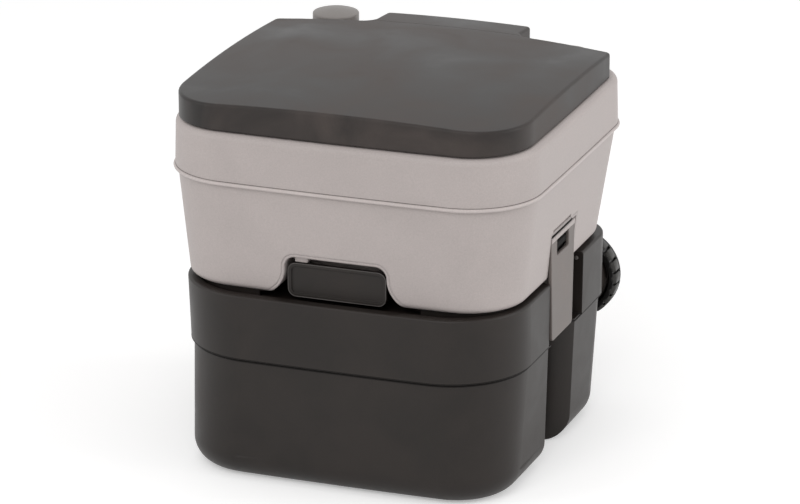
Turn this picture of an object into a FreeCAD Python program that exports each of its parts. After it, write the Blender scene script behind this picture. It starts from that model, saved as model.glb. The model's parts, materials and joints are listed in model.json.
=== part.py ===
"""Portable camp toilet: a flush unit latched on a waste tank, with a slide valve between them.

Millimetres. +Z is up, -Y is the front, +X is the user's left hand side when seated (right in a front view).
The origin is on the floor, under the middle of the valve throat.
"""
import FreeCAD, Part
import os
from math import cos, hypot, pi, radians, sin, sqrt

V = FreeCAD.Vector
X_AXIS = V(1, 0, 0)
Y_AXIS = V(0, 1, 0)
Z_AXIS = V(0, 0, 1)

# ---------------------------------------------------------------- driving dimensions
WALL = 3.0                      # moulded wall of both tanks and of the lid

# waste tank
RIM_HALF_WIDTH = 189.0
RIM_FRONT = 191.0
RIM_BACK = 180.0
RIM_CORNER_FRONT = 84.0
RIM_CORNER_BACK = 50.0
RIM_Z = 207.0                   # top of the rim lip
RIM_ROUND = 2.5
SEAM_Z = 136.0                  # moulding step round the tank
SEAM_STEP = 3.2                 # how far the band above the step stands out
SEAM_HALF_WIDTH = 188.0
SEAM_FRONT = 190.0
SEAM_CORNER_FRONT = 88.0
FOOT_HALF_WIDTH = 181.0
FOOT_FRONT = 187.0
FOOT_BACK = 175.0
FOOT_CORNER = 66.0
FOOT_ROUND = 27.0
TANK_BOW = 4.0                  # front and back bulge of the tank walls
TANK_SIDE_BOW = 1.0
RIM_LIP = 11.0                  # width of the lip round the tray
TRAY_DEPTH = 7.0                # tray floor below the rim

# hand-grip channels in the sides of the waste tank
GRIP_DEPTH = 33.0
GRIP_FRONT = -36.0              # y of the sharp front edge
GRIP_BACK = 34.0                # y where the floor of the channel ends, below the seam
GRIP_ROUND = 39.0               # the rear block's big vertical rounding
GRIP_BAND_BACK = 67.0           # y of the square rear wall, above the seam
LATCH_POCKET_FRONT = -43.6      # shallow pocket that lets the latch lie flush
LATCH_POCKET_FLOOR_X = 183.0
HEEL_ROOM = 5.0                 # extra room for the latch's heel as it swings
HEEL_FLOOR = 0.8                # floor of that room above the seam

# flush tank
RIM_GAP = 3.0                   # open joint between the rim and the flush tank
FLUSH_BOTTOM_HALF_WIDTH = 185.5
FLUSH_BOTTOM_FRONT = 176.0
FLUSH_BOTTOM_BACK = 176.0
FLUSH_BOTTOM_CORNER = 64.0
FLUSH_BOTTOM_ROUND = 7.0
RIDGE_HEIGHT = 117.0            # ridge above the flush tank's bottom
RIDGE_HALF_WIDTH = 201.0
RIDGE_FRONT = 188.0
RIDGE_BACK = 200.0
RIDGE_CORNER_FRONT = 78.0
RIDGE_CORNER_BACK = 61.0
RIDGE_STEP = 3.2                # the wall below the ridge is set back by this
RIDGE_LEAD = 3.5                # height over which the wall leads out to the ridge
DECK_HEIGHT = 54.0              # deck above the ridge
DECK_INSET = 1.5                # draft of the band above the ridge
DECK_ROUND = 8.0
FLUSH_BOW = 4.5
FLUSH_SIDE_BOW = 1.5
PLINTH_FIT = 2.0                # side clearance of the plinth in the tray
PLINTH_GAP = 0.2                # under the plinth
PLINTH_INSET = 9.0              # plinth inside the flush tank's bottom edge
FIT = 0.2                       # side clearance of a spigot or tube in its hole

# slide valve
THROAT_RADIUS = 42.0
VALVE_HALF_WIDTH = 75.0
VALVE_FRONT = 96.0
VALVE_BACK = 76.0
VALVE_CORNER = 14.0
VALVE_BASE_HEIGHT = 7.5
BLADE_HALF_WIDTH = 55.5
BLADE_THICKNESS = 3.0
BLADE_FRONT = 58.0
BLADE_BACK = 53.0
BLADE_CORNER = 10.0
BLADE_CLEARANCE = 0.3
STRIP_HALF_WIDTH = 28.0
COVER_HEIGHT = 4.0
SEAL_RADIUS = 52.0
SEAL_HEIGHT = 6.0
SEAL_BORE_GAP = 0.5             # seal's bore outside the throat
SEAL_FLANGE_HEIGHT = 3.0
SEAL_LIP_WIDTH = 3.0
SEAL_LIP_INSET = 3.0            # lip inside the seal's outer edge
SEAL_INNER_HEIGHT = 2.5
SEAL_RIM_WIDTH = 3.3            # wall on the cover, round the seal
SEAL_RIM_HEIGHT = 2.5
HANDLE_HALF_WIDTH = 54.5
HANDLE_HEIGHT = 37.0
HANDLE_LIFT = 8.5               # handle's lower edge above the tray floor
HANDLE_FRONT = 172.0
HANDLE_THICKNESS = 3.0
HANDLE_CORNER = 9.0
HANDLE_WALL = 2.5
HANDLE_RIM = 1.6                # raised border of the handle's face
HANDLE_RIM_WIDTH = 4.0
HANDLE_GRIP_DEPTH = 17.0        # how far the finger trough reaches back
HANDLE_TROUGH_INSET = 6.0       # trough inside the ends of the plate
HANDLE_TROUGH_DROP = 9.0        # trough's edge below the top of the plate
HANDLE_FOOT_LENGTH = 14.0
NOTCH_HALF_WIDTH = 56.5
NOTCH_ABOVE_HANDLE = 8.0
NOTCH_DEPTH_Y = 146.0           # y (front side) where the notch ends
NOTCH_TOP_ROUND = 12.0
LOBE_ROUND = 33.0               # lower inner corners beside the notch
TUNNEL_HALF_WIDTH = 80.0
TUNNEL_BACK = 82.0
TUNNEL_CLEARANCE_Z = 4.5        # above the lip seal
SCREW_RADIUS = 2.0
SCREW_HEAD_RADIUS = 4.0
SCREW_HEAD_HEIGHT = 2.2
SCREW_HEAD_CHAMFER = 0.8
SCREW_CLEARANCE = 0.15
SCREW_EDGE = 12.0               # end screws from the front and back edges of the cover

# side latches
LATCH_Y = -6.0
LATCH_TOP_HALF_WIDTH = 39.0
LATCH_BOTTOM_HALF_WIDTH = 33.0
LATCH_RISE = 5.5                # latch's lower edge above the seam
LATCH_HEIGHT = 116.0
LATCH_OUTER_X = 190.0
LATCH_THICKNESS = 3.5
LATCH_CORNER = 5.0
LATCH_EDGE_ROUND = 1.0
LATCH_RIB_HEIGHT = 1.4
LATCH_RIB_THICKNESS = 3.0
LATCH_RIB_INSET = 3.0           # ribs inside the ends of the barrel
LATCH_RIB_END = 8.0             # ribs stop this far below the window
LATCH_WEB_BELOW = 2.0           # web between plate and barrel, below the pin
LATCH_PIN_RISE = 7.0            # pin above the latch's lower edge
LATCH_PIN_INSET = 9.5           # pin axis behind the latch's face
LATCH_PIN_RADIUS = 2.5
LATCH_PIN_CLEARANCE = 0.06
LATCH_BARREL_RADIUS = 5.5
LATCH_EYE_RADIUS = 5.0
LATCH_EAR_THICKNESS = 5.0
LATCH_FOOT_BELOW = 9.0          # bracket's foot below and above the pin
LATCH_FOOT_ABOVE = 22.0
LATCH_FOOT_THICKNESS = 4.0
LATCH_EAR_BELOW = 3.5           # ear's lower edge below the pin
LATCH_EAR_GAP = 0.5
LATCH_BARREL_LENGTH = 34.0
WINDOW_HALF_WIDTH = 19.0
WINDOW_HEIGHT = 19.0
WINDOW_BAR = 5.0                # height of the bar over the window
WINDOW_ROUND = 2.0
CATCH_HALF_WIDTH = 16.5
CATCH_HEIGHT = 12.0
CATCH_DROP = 4.2                # free height between the catch's nose and the latch's top bar
CATCH_RECESS = 2.0              # nose behind the latch's face
CATCH_SLOPE = 3.0               # how much lower the nose is than its root, above and below
CATCH_TOP_FLAT = 1.5
POCKET_CLEARANCE = 2.0
POCKET_FLOOR_X = 183.0
LEDGE_HEIGHT = 4.5
GROOVE_HEIGHT = 2.6
GROOVE_DEPTH = 2.5
GROOVE_HALF_LENGTH = 29.0
GROOVE_FORWARD = 8.0

# spout and its screw cap, at the back of the waste tank
SPOUT_X = 139.0
SPOUT_ABOVE_SEAM = 1.0
SPOUT_NECK_RADIUS = 37.0
SPOUT_BORE_RADIUS = 33.0
SPOUT_NECK_END_Y = 199.0
CAP_RADIUS = 46.0
CAP_START_Y = 184.0
CAP_LENGTH = 20.0
CAP_RIBS = 20
CAP_RIB_DEPTH = 1.6
SCALLOP_SHARE = 0.62            # radius of the scallops, as a share of the pitch of the ribs
SCALLOP_END = 1.5               # scallops stop short of the cap's closed end
CAP_DISH_INSET = 9.0
CAP_DISH_DEPTH = 1.2
CAP_THREAD_DEPTH = 4.2          # room for the thread between neck and cap
GASKET_THICKNESS = 1.6
GASKET_SEAT_GAP = 0.1

# pump
PUMP_IN = 65.0                  # pump axis in from the ridge at the side and at the back
PUMP_FORWARD = 23.0
PUMP_X = PUMP_IN - RIDGE_HALF_WIDTH
PUMP_Y = RIDGE_BACK - PUMP_FORWARD
PUMP_TURRET_RADIUS = 18.5       # flange on the deck
PUMP_HOUSING_RADIUS = 16.0      # body below the deck
PUMP_TURRET_HEIGHT = 5.0        # pump housing above the deck
PUMP_WELL_RADIUS = 14.0
PUMP_WELL_DEPTH = 46.0
PUMP_COLLAR_RADIUS = 18.0
PUMP_COLLAR_HEIGHT = 3.0
PUMP_COLLAR_LIP = 0.4           # how far it covers the rim of the bellows
PUMP_COLLAR_ROUND = 0.6
BELLOWS_RADIUS = 13.0
BELLOWS_FOLD = 3.2
BELLOWS_WALL = 1.4
BELLOWS_PLEATS = 7
KNOB_RADIUS = 25.5
KNOB_LIFT = 22.0                # knob above the deck
KNOB_RIM_HEIGHT = 9.5
KNOB_CROWN = 4.0
KNOB_SKIRT = 2.2
KNOB_ROUND = 2.0
INTAKE_RADIUS = 8.0
INTAKE_LEAN = 12.0              # how far the tube leans towards the tank's middle
INTAKE_LEAN_FORWARD = 24.0
INTAKE_SOCKET = 12.0
INTAKE_WALL = 2.0
INTAKE_FOOT_GAP = 6.0
FLUSH_PIPE_RADIUS = 4.5
FLUSH_PIPE_WALL = 1.2
PIPE_SOCKET = 4.0               # length of the pipe inside the nozzle

# water filler
FILLER_IN = 69.0                # filler axis in from the ridge at the side and at the back
FILLER_FORWARD = 23.0
FILLER_X = RIDGE_HALF_WIDTH - FILLER_IN
FILLER_Y = RIDGE_BACK - FILLER_FORWARD
FILLER_NECK_RADIUS = 15.5
FILLER_BORE_RADIUS = 12.9
FILLER_NECK_HEIGHT = 9.0
FILLER_NECK_ROOT = 10.0         # length of the neck below the deck
FILLER_CAP_RADIUS = 22.5
FILLER_CAP_HEIGHT = 12.0
FILLER_CAP_WALL = 2.4
FILLER_CAP_RIBS = 16
FILLER_RIB_DEPTH = 1.0
FILLER_THREAD_DEPTH = 2.6

# bowl
BOWL_Y = -18.0
BOWL_WAIST_Y = -13.5            # the funnel leans back towards the throat
BOWL_HALF_WIDTH = 112.0
BOWL_HALF_LENGTH = 140.0
BOWL_WALL = 2.5
BOWL_FLANGE = 14.0
BOWL_FLANGE_THICKNESS = 2.5
BOWL_WAIST_DEPTH = 65.0         # waist below the deck
BOWL_WAIST_HALF_WIDTH = 92.0
BOWL_WAIST_HALF_LENGTH = 112.0
BOWL_THROAT_DEPTH = 135.0       # top of the throat below the deck
BOWL_THROAT_RADIUS = 46.0
BOWL_STEP = 0.8                 # small ledge where the funnel meets the spigot
SPIGOT_RADIUS = 50.0
SPIGOT_GAP = 0.3
NOZZLE_WIDTH = 44.0
NOZZLE_DEPTH = 16.0
NOZZLE_HEIGHT = 12.0
NOZZLE_DROP = 9.0               # nozzle top below the deck
NOZZLE_STAND = 1.0              # nozzle's body behind the bowl's mouth line
NOZZLE_LIP_INSET = 6.2          # lip inside the ends of the body
NOZZLE_LIP_HEIGHT = 6.6
NOZZLE_LIP_LENGTH = 11.0
NOZZLE_WALL = 2.3
NOZZLE_SLOT_HEIGHT = 3.0
NOZZLE_SLOT_STOP = 3.0          # solid back wall of the nozzle

# seat and lid
HINGE_Y = 187.0
HINGE_HEIGHT = 19.5             # hinge axis above the deck
HINGE_PIN_RADIUS = 3.0
HINGE_PIN_CLEARANCE = 0.06
LUG_BACK = 3.04                 # post's back face behind the axis
KNUCKLE_RADIUS = 7.6
BARREL_RADIUS = 12.0
KNUCKLE_GAP = 0.7
PIN_END_COVER = 6.0             # lid's material beyond the end of the pin
LUG_INNER_X = 22.0
LUG_OUTER_X = 40.0
SEAT_KNUCKLE_OUTER_X = 59.0
TAB_HALF_WIDTH = 83.0
TAB_CONCAVE_RADIUS = 15.0
TAB_CORNER = 5.0
LID_HALF_WIDTH = 194.0
LID_FRONT = 183.0
LID_BACK = 151.5
LID_CORNER_FRONT = 66.0
LID_CORNER_BACK = 6.5
LID_BOW_FRONT = 4.0
LID_BOW_SIDE = 1.5
LID_BOW_BACK = 9.5
LID_GAP = 1.4                   # lid's skirt above the deck
LID_APEX_HEIGHT = 39.3          # top of the lid above the deck
LID_CROWN_RADIUS = 2436.0
LID_EDGE_ROUND = 2.8
LID_INNER_CORNER = 1.5          # smallest corner inside the skirt
LID_RIB_THICKNESS = 2.0
LID_RIB_DEPTH = 3.0
LID_RIB_PITCH = 80.08
LID_RIB_FRONT = 40.0            # ribs end this far inside the lid's front and back
LID_RIB_BACK = 45.0
SEAT_CLEARANCE = 2.5            # between seat and lid skirt
SEAT_SWING_GAP = 2.6            # more room behind the seat, where the lid's back wall swings down
SEAT_GAP = 3.0                  # seat above the deck
SEAT_HEIGHT = 16.0
SEAT_ROUND = 5.0
SEAT_HOLE_ROUND = 6.0
SEAT_CORNER_BACK = 12.5
SEAT_ARM_ROOT = 20.0            # arms start this far inside the lid's back line
SEAT_HOLE_HALF_WIDTH = 104.0
SEAT_HOLE_HALF_LENGTH = 131.0
SEAT_WALL = 3.0
SEAT_RIBS = 18
SEAT_RIB_THICKNESS = 2.4
BUMPER_RADIUS = 7.0
BUMPER_GAP = 0.2
BUMPER_BOSS_WALL = 2.0          # boss in the seat round the pad
BUMPER_HEIGHT = 4.8             # rubber pad under the seat
BUMPER_X = 158.0
BUMPER_FRONT_Y = -118.0
BUMPER_BACK_Y = 112.0

# ---------------------------------------------------------------- values that follow from them
TRAY_Z = RIM_Z - TRAY_DEPTH
FLUSH_BOTTOM_Z = RIM_Z + RIM_GAP
RIDGE_Z = FLUSH_BOTTOM_Z + RIDGE_HEIGHT
DECK_Z = RIDGE_Z + DECK_HEIGHT
BLADE_Z = TRAY_Z + VALVE_BASE_HEIGHT + BLADE_CLEARANCE
COVER_Z = BLADE_Z + BLADE_THICKNESS + BLADE_CLEARANCE
COVER_TOP_Z = COVER_Z + COVER_HEIGHT
SEAL_TOP_Z = COVER_TOP_Z + SEAL_HEIGHT
TUNNEL_TOP_Z = SEAL_TOP_Z + TUNNEL_CLEARANCE_Z
LATCH_BOTTOM_Z = SEAM_Z + LATCH_RISE
LATCH_TOP_Z = LATCH_BOTTOM_Z + LATCH_HEIGHT
LATCH_PIN_Z = LATCH_BOTTOM_Z + LATCH_PIN_RISE
WINDOW_TOP_Z = LATCH_TOP_Z - WINDOW_BAR
WINDOW_BOTTOM_Z = WINDOW_TOP_Z - WINDOW_HEIGHT
LATCH_PIN_X = LATCH_OUTER_X - LATCH_PIN_INSET
POCKET_TOP_Z = LATCH_TOP_Z + POCKET_CLEARANCE
GRIP_FLOOR_X = SEAM_HALF_WIDTH - GRIP_DEPTH
SPOUT_Z = SEAM_Z + SPOUT_ABOVE_SEAM
CAP_END_Y = CAP_START_Y + CAP_LENGTH
HANDLE_BOTTOM_Z = TRAY_Z + HANDLE_LIFT
HANDLE_TOP_Z = HANDLE_BOTTOM_Z + HANDLE_HEIGHT
NOTCH_TOP_Z = HANDLE_TOP_Z + NOTCH_ABOVE_HANDLE
WELL_FLOOR_Z = DECK_Z - PUMP_WELL_DEPTH
PUMP_TURRET_Z = DECK_Z + PUMP_TURRET_HEIGHT
KNOB_BOTTOM_Z = DECK_Z + KNOB_LIFT
KNOB_RIM_Z = KNOB_BOTTOM_Z + KNOB_RIM_HEIGHT
FILLER_NECK_TOP_Z = DECK_Z + FILLER_NECK_HEIGHT
BOWL_WAIST_Z = DECK_Z - BOWL_WAIST_DEPTH
BOWL_THROAT_Z = DECK_Z - BOWL_THROAT_DEPTH
HINGE_Z = DECK_Z + HINGE_HEIGHT
SEAT_BOTTOM_Z = DECK_Z + SEAT_GAP
SEAT_TOP_Z = SEAT_BOTTOM_Z + SEAT_HEIGHT
BUMPER_SEAT_Z = DECK_Z + BUMPER_GAP + BUMPER_HEIGHT
LID_BOTTOM_Z = DECK_Z + LID_GAP
LID_APEX_Z = DECK_Z + LID_APEX_HEIGHT
TAB_BACK = HINGE_Y + BARREL_RADIUS
TAB_FLOOR_Z = HINGE_Z - BARREL_RADIUS
BEYOND = 40.0                   # how far a cutter runs past what it cuts


# ---------------------------------------------------------------- shared geometry
def bulge_circle(half_chord, bow):
    """Radius of the arc that rises by bow over a chord of twice half_chord."""
    return (half_chord ** 2 + bow ** 2) / (2.0 * bow)


def meet(centre_a, radius_a, centre_b, radius_b, side):
    """The crossing of two circles in plan that lies towards the point side."""
    dx = centre_b.x - centre_a.x
    dy = centre_b.y - centre_a.y
    gap = hypot(dx, dy)
    along = (gap ** 2 + radius_a ** 2 - radius_b ** 2) / (2.0 * gap)
    across = sqrt(max(radius_a ** 2 - along ** 2, 0.0))
    mid = V(centre_a.x + dx * along / gap, centre_a.y + dy * along / gap, centre_a.z)
    offset = V(-dy * across / gap, dx * across / gap, 0)
    first = mid + offset
    second = mid - offset
    if (first - side).Length < (second - side).Length:
        return first
    return second


def arc_through(centre, radius, start, end):
    """The shorter arc about centre from start to end, at their height."""
    middle = (start - centre) + (end - centre)
    middle.normalize()
    return Part.Arc(start, centre + middle * radius, end).toShape()


def mirrored(point):
    return V(-point.x, point.y, point.z)


def towards(centre, radius, point):
    """The point at the given radius from centre, in the direction of another point."""
    ray = point - centre
    ray.normalize()
    return centre + ray * radius


def bowed_edges(half_width, front, back, corner_front, corner_back, bow_front, bow_side, bow_back, z):
    """Edges of a plan outline of four bowed sides joined by tangent corner arcs; the back side comes last."""
    radius_front = bulge_circle(half_width, bow_front)
    radius_back = bulge_circle(half_width, bow_back)
    radius_side = bulge_circle((front + back) / 2.0, bow_side)
    centre_front = V(0, radius_front - front, z)
    centre_back = V(0, back - radius_back, z)
    centre_side = V(half_width - radius_side, (back - front) / 2.0, z)
    corner_f = meet(centre_front, radius_front - corner_front, centre_side, radius_side - corner_front,
                    V(half_width, -front, z))
    corner_b = meet(centre_back, radius_back - corner_back, centre_side, radius_side - corner_back,
                    V(half_width, back, z))
    front_end = towards(centre_front, radius_front, corner_f)
    side_start = towards(centre_side, radius_side, corner_f)
    side_end = towards(centre_side, radius_side, corner_b)
    back_end = towards(centre_back, radius_back, corner_b)
    left_side = mirrored(centre_side)
    return [
        arc_through(mirrored(corner_b), corner_back, mirrored(back_end), mirrored(side_end)),
        arc_through(left_side, radius_side, mirrored(side_end), mirrored(side_start)),
        arc_through(mirrored(corner_f), corner_front, mirrored(side_start), mirrored(front_end)),
        arc_through(centre_front, radius_front, mirrored(front_end), front_end),
        arc_through(corner_f, corner_front, front_end, side_start),
        arc_through(centre_side, radius_side, side_start, side_end),
        arc_through(corner_b, corner_back, side_end, back_end),
        arc_through(centre_back, radius_back, back_end, mirrored(back_end)),
    ]


def bowed_outline(*sizes):
    return Part.Wire(bowed_edges(*sizes))


def loft(wires):
    return Part.makeLoft(wires, True, True)


def prism(wire, height):
    return Part.Face(wire).extrude(V(0, 0, height))


def box(x0, x1, y0, y1, z0, z1):
    return Part.makeBox(x1 - x0, y1 - y0, z1 - z0, V(x0, y0, z0))


def cylinder(radius, start, end):
    axis = end - start
    return Part.makeCylinder(radius, axis.Length, start, axis)


def ring(outer, inner, start, end):
    return cylinder(outer, start, end).cut(cylinder(inner, start, end))


def rounded_rectangle(x0, x1, y0, y1, radius, z):
    """A plan rectangle with equal corner radii."""
    edges = []
    corners = [(x1 - radius, y0 + radius, -90), (x1 - radius, y1 - radius, 0),
               (x0 + radius, y1 - radius, 90), (x0 + radius, y0 + radius, 180)]
    starts = []
    ends = []
    for cx, cy, turn in corners:
        centre = V(cx, cy, z)
        start = centre + V(cos(radians(turn)), sin(radians(turn)), 0) * radius
        end = centre + V(cos(radians(turn + 90)), sin(radians(turn + 90)), 0) * radius
        starts.append(start)
        ends.append(end)
        edges.append(arc_through(centre, radius, start, end))
        if len(ends) > 1:
            edges.insert(-1, Part.makeLine(ends[-2], start))
    edges.append(Part.makeLine(ends[-1], starts[0]))
    return Part.Wire(edges)


def oval_wire(half_width, half_length, y, z):
    """A plan oval whose long axis lies along Y, or a circle; both start at the front."""
    if half_length > half_width:
        curve = Part.Ellipse(V(0, y - half_length, z), V(half_width, y, z), V(0, y, z))
        return Part.Wire([curve.toShape()])
    circle = Part.Wire([Part.Circle(V(0, y, z), Z_AXIS, half_width).toShape()])
    circle.rotate(V(0, y, z), Z_AXIS, -90)
    return circle


def mirrored_x(shape):
    return shape.mirror(V(0, 0, 0), X_AXIS)


def fused(shapes):
    first = shapes[0]
    if len(shapes) == 1:
        return first
    return first.multiFuse(shapes[1:]).removeSplitter()


def round_edges(shape, radius, wanted):
    """Fillet the edges for which wanted(edge) is true."""
    edges = [edge for edge in shape.Edges if wanted(edge)]
    return shape.makeFillet(radius, edges)


def lies_at_z(edge, z):
    return abs(edge.BoundBox.ZMin - z) < 0.02 and abs(edge.BoundBox.ZMax - z) < 0.02


def is_upright(edge):
    direction = edge.lastVertex().Point - edge.firstVertex().Point if len(edge.Vertexes) > 1 else V(0, 0, 0)
    return direction.Length > 1.0 and hypot(direction.x, direction.y) < 0.2 * abs(direction.z)


# ---------------------------------------------------------------- waste tank
def foot_outline(inset, z):
    return bowed_outline(FOOT_HALF_WIDTH - inset, FOOT_FRONT - inset, FOOT_BACK - inset, FOOT_CORNER - inset,
                         FOOT_CORNER - inset, TANK_BOW, TANK_SIDE_BOW, TANK_BOW, z)


def seam_outline(inset, z):
    return bowed_outline(SEAM_HALF_WIDTH - inset, SEAM_FRONT - inset, RIM_BACK - inset,
                         SEAM_CORNER_FRONT - inset, RIM_CORNER_BACK - inset, TANK_BOW, TANK_SIDE_BOW,
                         TANK_BOW, z)


def rim_outline(inset, z):
    return bowed_outline(RIM_HALF_WIDTH - inset, RIM_FRONT - inset, RIM_BACK - inset,
                         RIM_CORNER_FRONT - inset, RIM_CORNER_BACK - inset, TANK_BOW, TANK_SIDE_BOW,
                         TANK_BOW, z)


def grip_space_low(grow):
    """The right hand-grip channel below the seam; grow thickens it, for the wall behind it."""
    inner = GRIP_FLOOR_X - grow
    front = GRIP_FRONT - grow
    outer = SEAM_HALF_WIDTH + BEYOND
    radius = GRIP_ROUND - grow
    centre = V(GRIP_FLOOR_X - SEAM_STEP, GRIP_BACK + GRIP_ROUND, 0)
    start = centre + V(0, -radius, 0)
    end = centre + V(radius, 0, 0)
    outline = Part.Wire([
        Part.makeLine(V(inner, front, 0), V(outer, front, 0)),
        Part.makeLine(V(outer, front, 0), V(outer, end.y, 0)),
        Part.makeLine(V(outer, end.y, 0), end),
        arc_through(centre, radius, end, start),
        Part.makeLine(start, V(inner, start.y, 0)),
        Part.makeLine(V(inner, start.y, 0), V(inner, front, 0)),
    ])
    outline.translate(V(0, 0, -BEYOND))
    return prism(outline, SEAM_Z + grow + BEYOND)


def grip_space_high(grow):
    """The same channel above the seam, with the shallow pocket in which the latch lies."""
    inner = GRIP_FLOOR_X - grow
    front = GRIP_FRONT - HEEL_ROOM - grow
    outer = SEAM_HALF_WIDTH + BEYOND
    floor_z = SEAM_Z + HEEL_FLOOR - grow
    top = RIM_Z + BEYOND
    channel = box(inner, outer, GRIP_FRONT - grow, GRIP_BAND_BACK + grow, SEAM_Z - grow, top)
    heel = box(inner, outer, front, GRIP_FRONT - grow + 1, floor_z, top)
    pocket = box(LATCH_POCKET_FLOOR_X - grow, outer, LATCH_POCKET_FRONT - grow, front + 1, floor_z, top)
    return fused([channel, heel, pocket])


def without_sides(shape, space):
    """The shape less a right-hand space and its mirror image."""
    return shape.cut(space).cut(mirrored_x(space))


def waste_tank_low_body():
    body = loft([foot_outline(0, 0), seam_outline(SEAM_STEP, SEAM_Z)])
    return round_edges(body, FOOT_ROUND, lambda edge: lies_at_z(edge, 0))


def waste_tank_high_body():
    body = loft([seam_outline(0, SEAM_Z), rim_outline(0, RIM_Z)])
    return round_edges(body, RIM_ROUND, lambda edge: lies_at_z(edge, RIM_Z))


def spout_mouth():
    return cylinder(SPOUT_BORE_RADIUS, V(SPOUT_X, RIM_BACK - RIM_CORNER_BACK, SPOUT_Z),
                    V(SPOUT_X, RIM_BACK + BEYOND, SPOUT_Z))


def waste_tank():
    """Lower shell of the waste tank, from the floor to the seam."""
    cavity = loft([foot_outline(WALL, WALL), seam_outline(SEAM_STEP + WALL, SEAM_Z)])
    cavity = round_edges(cavity, FOOT_ROUND - WALL, lambda edge: lies_at_z(edge, WALL))
    cavity = without_sides(cavity, grip_space_low(WALL))
    cavity = without_sides(cavity, grip_space_high(WALL))
    shell = without_sides(waste_tank_low_body(), grip_space_low(0))
    return shell.cut(cavity).cut(spout_mouth())


def waste_tank_top():
    """Upper shell of the waste tank, from the seam to the rim, with the tray for the flush unit."""
    tray = prism(rim_outline(RIM_LIP, TRAY_Z), BEYOND)
    tray = without_sides(tray, grip_space_high(RIM_LIP))
    cavity = loft([seam_outline(SEAM_STEP + WALL, SEAM_Z), rim_outline(WALL, TRAY_Z - WALL)])
    cavity = without_sides(cavity, grip_space_high(WALL))
    cavity = without_sides(cavity, grip_space_low(WALL))
    shell = without_sides(waste_tank_high_body(), grip_space_high(0))
    shell = shell.cut(tray).cut(cavity)
    throat = cylinder(THROAT_RADIUS, V(0, 0, TRAY_Z - 2 * WALL), V(0, 0, TRAY_Z + WALL))
    return shell.cut(throat).cut(spout_mouth())


def spout_neck():
    """Neck that stands on the tank's rounded back corner."""
    root_y = RIM_BACK - RIM_CORNER_BACK
    neck = cylinder(SPOUT_NECK_RADIUS, V(SPOUT_X, root_y, SPOUT_Z), V(SPOUT_X, SPOUT_NECK_END_Y, SPOUT_Z))
    neck = neck.cut(waste_tank_low_body()).cut(waste_tank_high_body())
    bore = cylinder(SPOUT_BORE_RADIUS, V(SPOUT_X, root_y, SPOUT_Z),
                    V(SPOUT_X, SPOUT_NECK_END_Y + WALL, SPOUT_Z))
    return neck.cut(bore)


# ---------------------------------------------------------------- parts of the slide valve
def valve_outline(z):
    return rounded_rectangle(-VALVE_HALF_WIDTH, VALVE_HALF_WIDTH, -VALVE_FRONT, VALVE_BACK, VALVE_CORNER, z)


def valve_screw_places():
    x = (VALVE_HALF_WIDTH + BLADE_HALF_WIDTH) / 2.0
    rows = (SCREW_EDGE - VALVE_FRONT, (VALVE_BACK - VALVE_FRONT) / 2.0, VALVE_BACK - SCREW_EDGE)
    return [(side * x, y) for side in (-1, 1) for y in rows]


def valve_holes(shape):
    for x, y in valve_screw_places():
        shape = shape.cut(cylinder(SCREW_RADIUS + SCREW_CLEARANCE, V(x, y, TRAY_Z), V(x, y, COVER_TOP_Z + 1)))
    return shape


def valve_base():
    """Plate round the throat with a raised guide rail each side of the blade and a stop behind it."""
    plate = prism(valve_outline(TRAY_Z), COVER_Z - TRAY_Z)
    guide = BLADE_HALF_WIDTH + BLADE_CLEARANCE
    slot = box(-guide, guide, -VALVE_FRONT - 1, BLADE_BACK + BLADE_CLEARANCE, TRAY_Z + VALVE_BASE_HEIGHT,
               COVER_Z + 1)
    plate = plate.cut(slot)
    plate = plate.cut(cylinder(THROAT_RADIUS, V(0, 0, TRAY_Z - 1), V(0, 0, COVER_Z + 1)))
    return valve_holes(plate)


def valve_cover():
    plate = prism(valve_outline(COVER_Z), COVER_HEIGHT)
    plate = plate.cut(cylinder(THROAT_RADIUS, V(0, 0, COVER_Z - 1), V(0, 0, COVER_TOP_Z + 1)))
    rim_bore = SEAL_RADIUS + FIT
    rim = ring(rim_bore + SEAL_RIM_WIDTH, rim_bore, V(0, 0, COVER_TOP_Z),
               V(0, 0, COVER_TOP_Z + SEAL_RIM_HEIGHT))
    return valve_holes(fused([plate, rim]))


def valve_screws():
    screws = []
    for x, y in valve_screw_places():
        head_top = COVER_TOP_Z + SCREW_HEAD_HEIGHT
        shank = cylinder(SCREW_RADIUS, V(x, y, TRAY_Z + 1), V(x, y, COVER_TOP_Z))
        head = cylinder(SCREW_HEAD_RADIUS, V(x, y, COVER_TOP_Z), V(x, y, head_top))
        top_edges = [edge for edge in head.Edges if lies_at_z(edge, head_top)]
        head = head.makeChamfer(SCREW_HEAD_CHAMFER, top_edges)
        screws.append(fused([shank, head]))
    return Part.makeCompound(screws)


def lip_seal():
    """Rubber ring with a raised lip that the bowl's spigot presses on."""
    inner = THROAT_RADIUS + SEAL_BORE_GAP
    lip = SEAL_RADIUS - SEAL_LIP_INSET
    section = Part.makePolygon([
        V(inner, 0, COVER_TOP_Z),
        V(SEAL_RADIUS, 0, COVER_TOP_Z),
        V(SEAL_RADIUS, 0, COVER_TOP_Z + SEAL_FLANGE_HEIGHT),
        V(lip, 0, SEAL_TOP_Z),
        V(lip - SEAL_LIP_WIDTH, 0, SEAL_TOP_Z),
        V(inner, 0, COVER_TOP_Z + SEAL_INNER_HEIGHT),
        V(inner, 0, COVER_TOP_Z),
    ])
    return Part.Face(Part.Wire(section.Edges)).revolve(V(0, 0, 0), Z_AXIS, 360)


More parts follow.
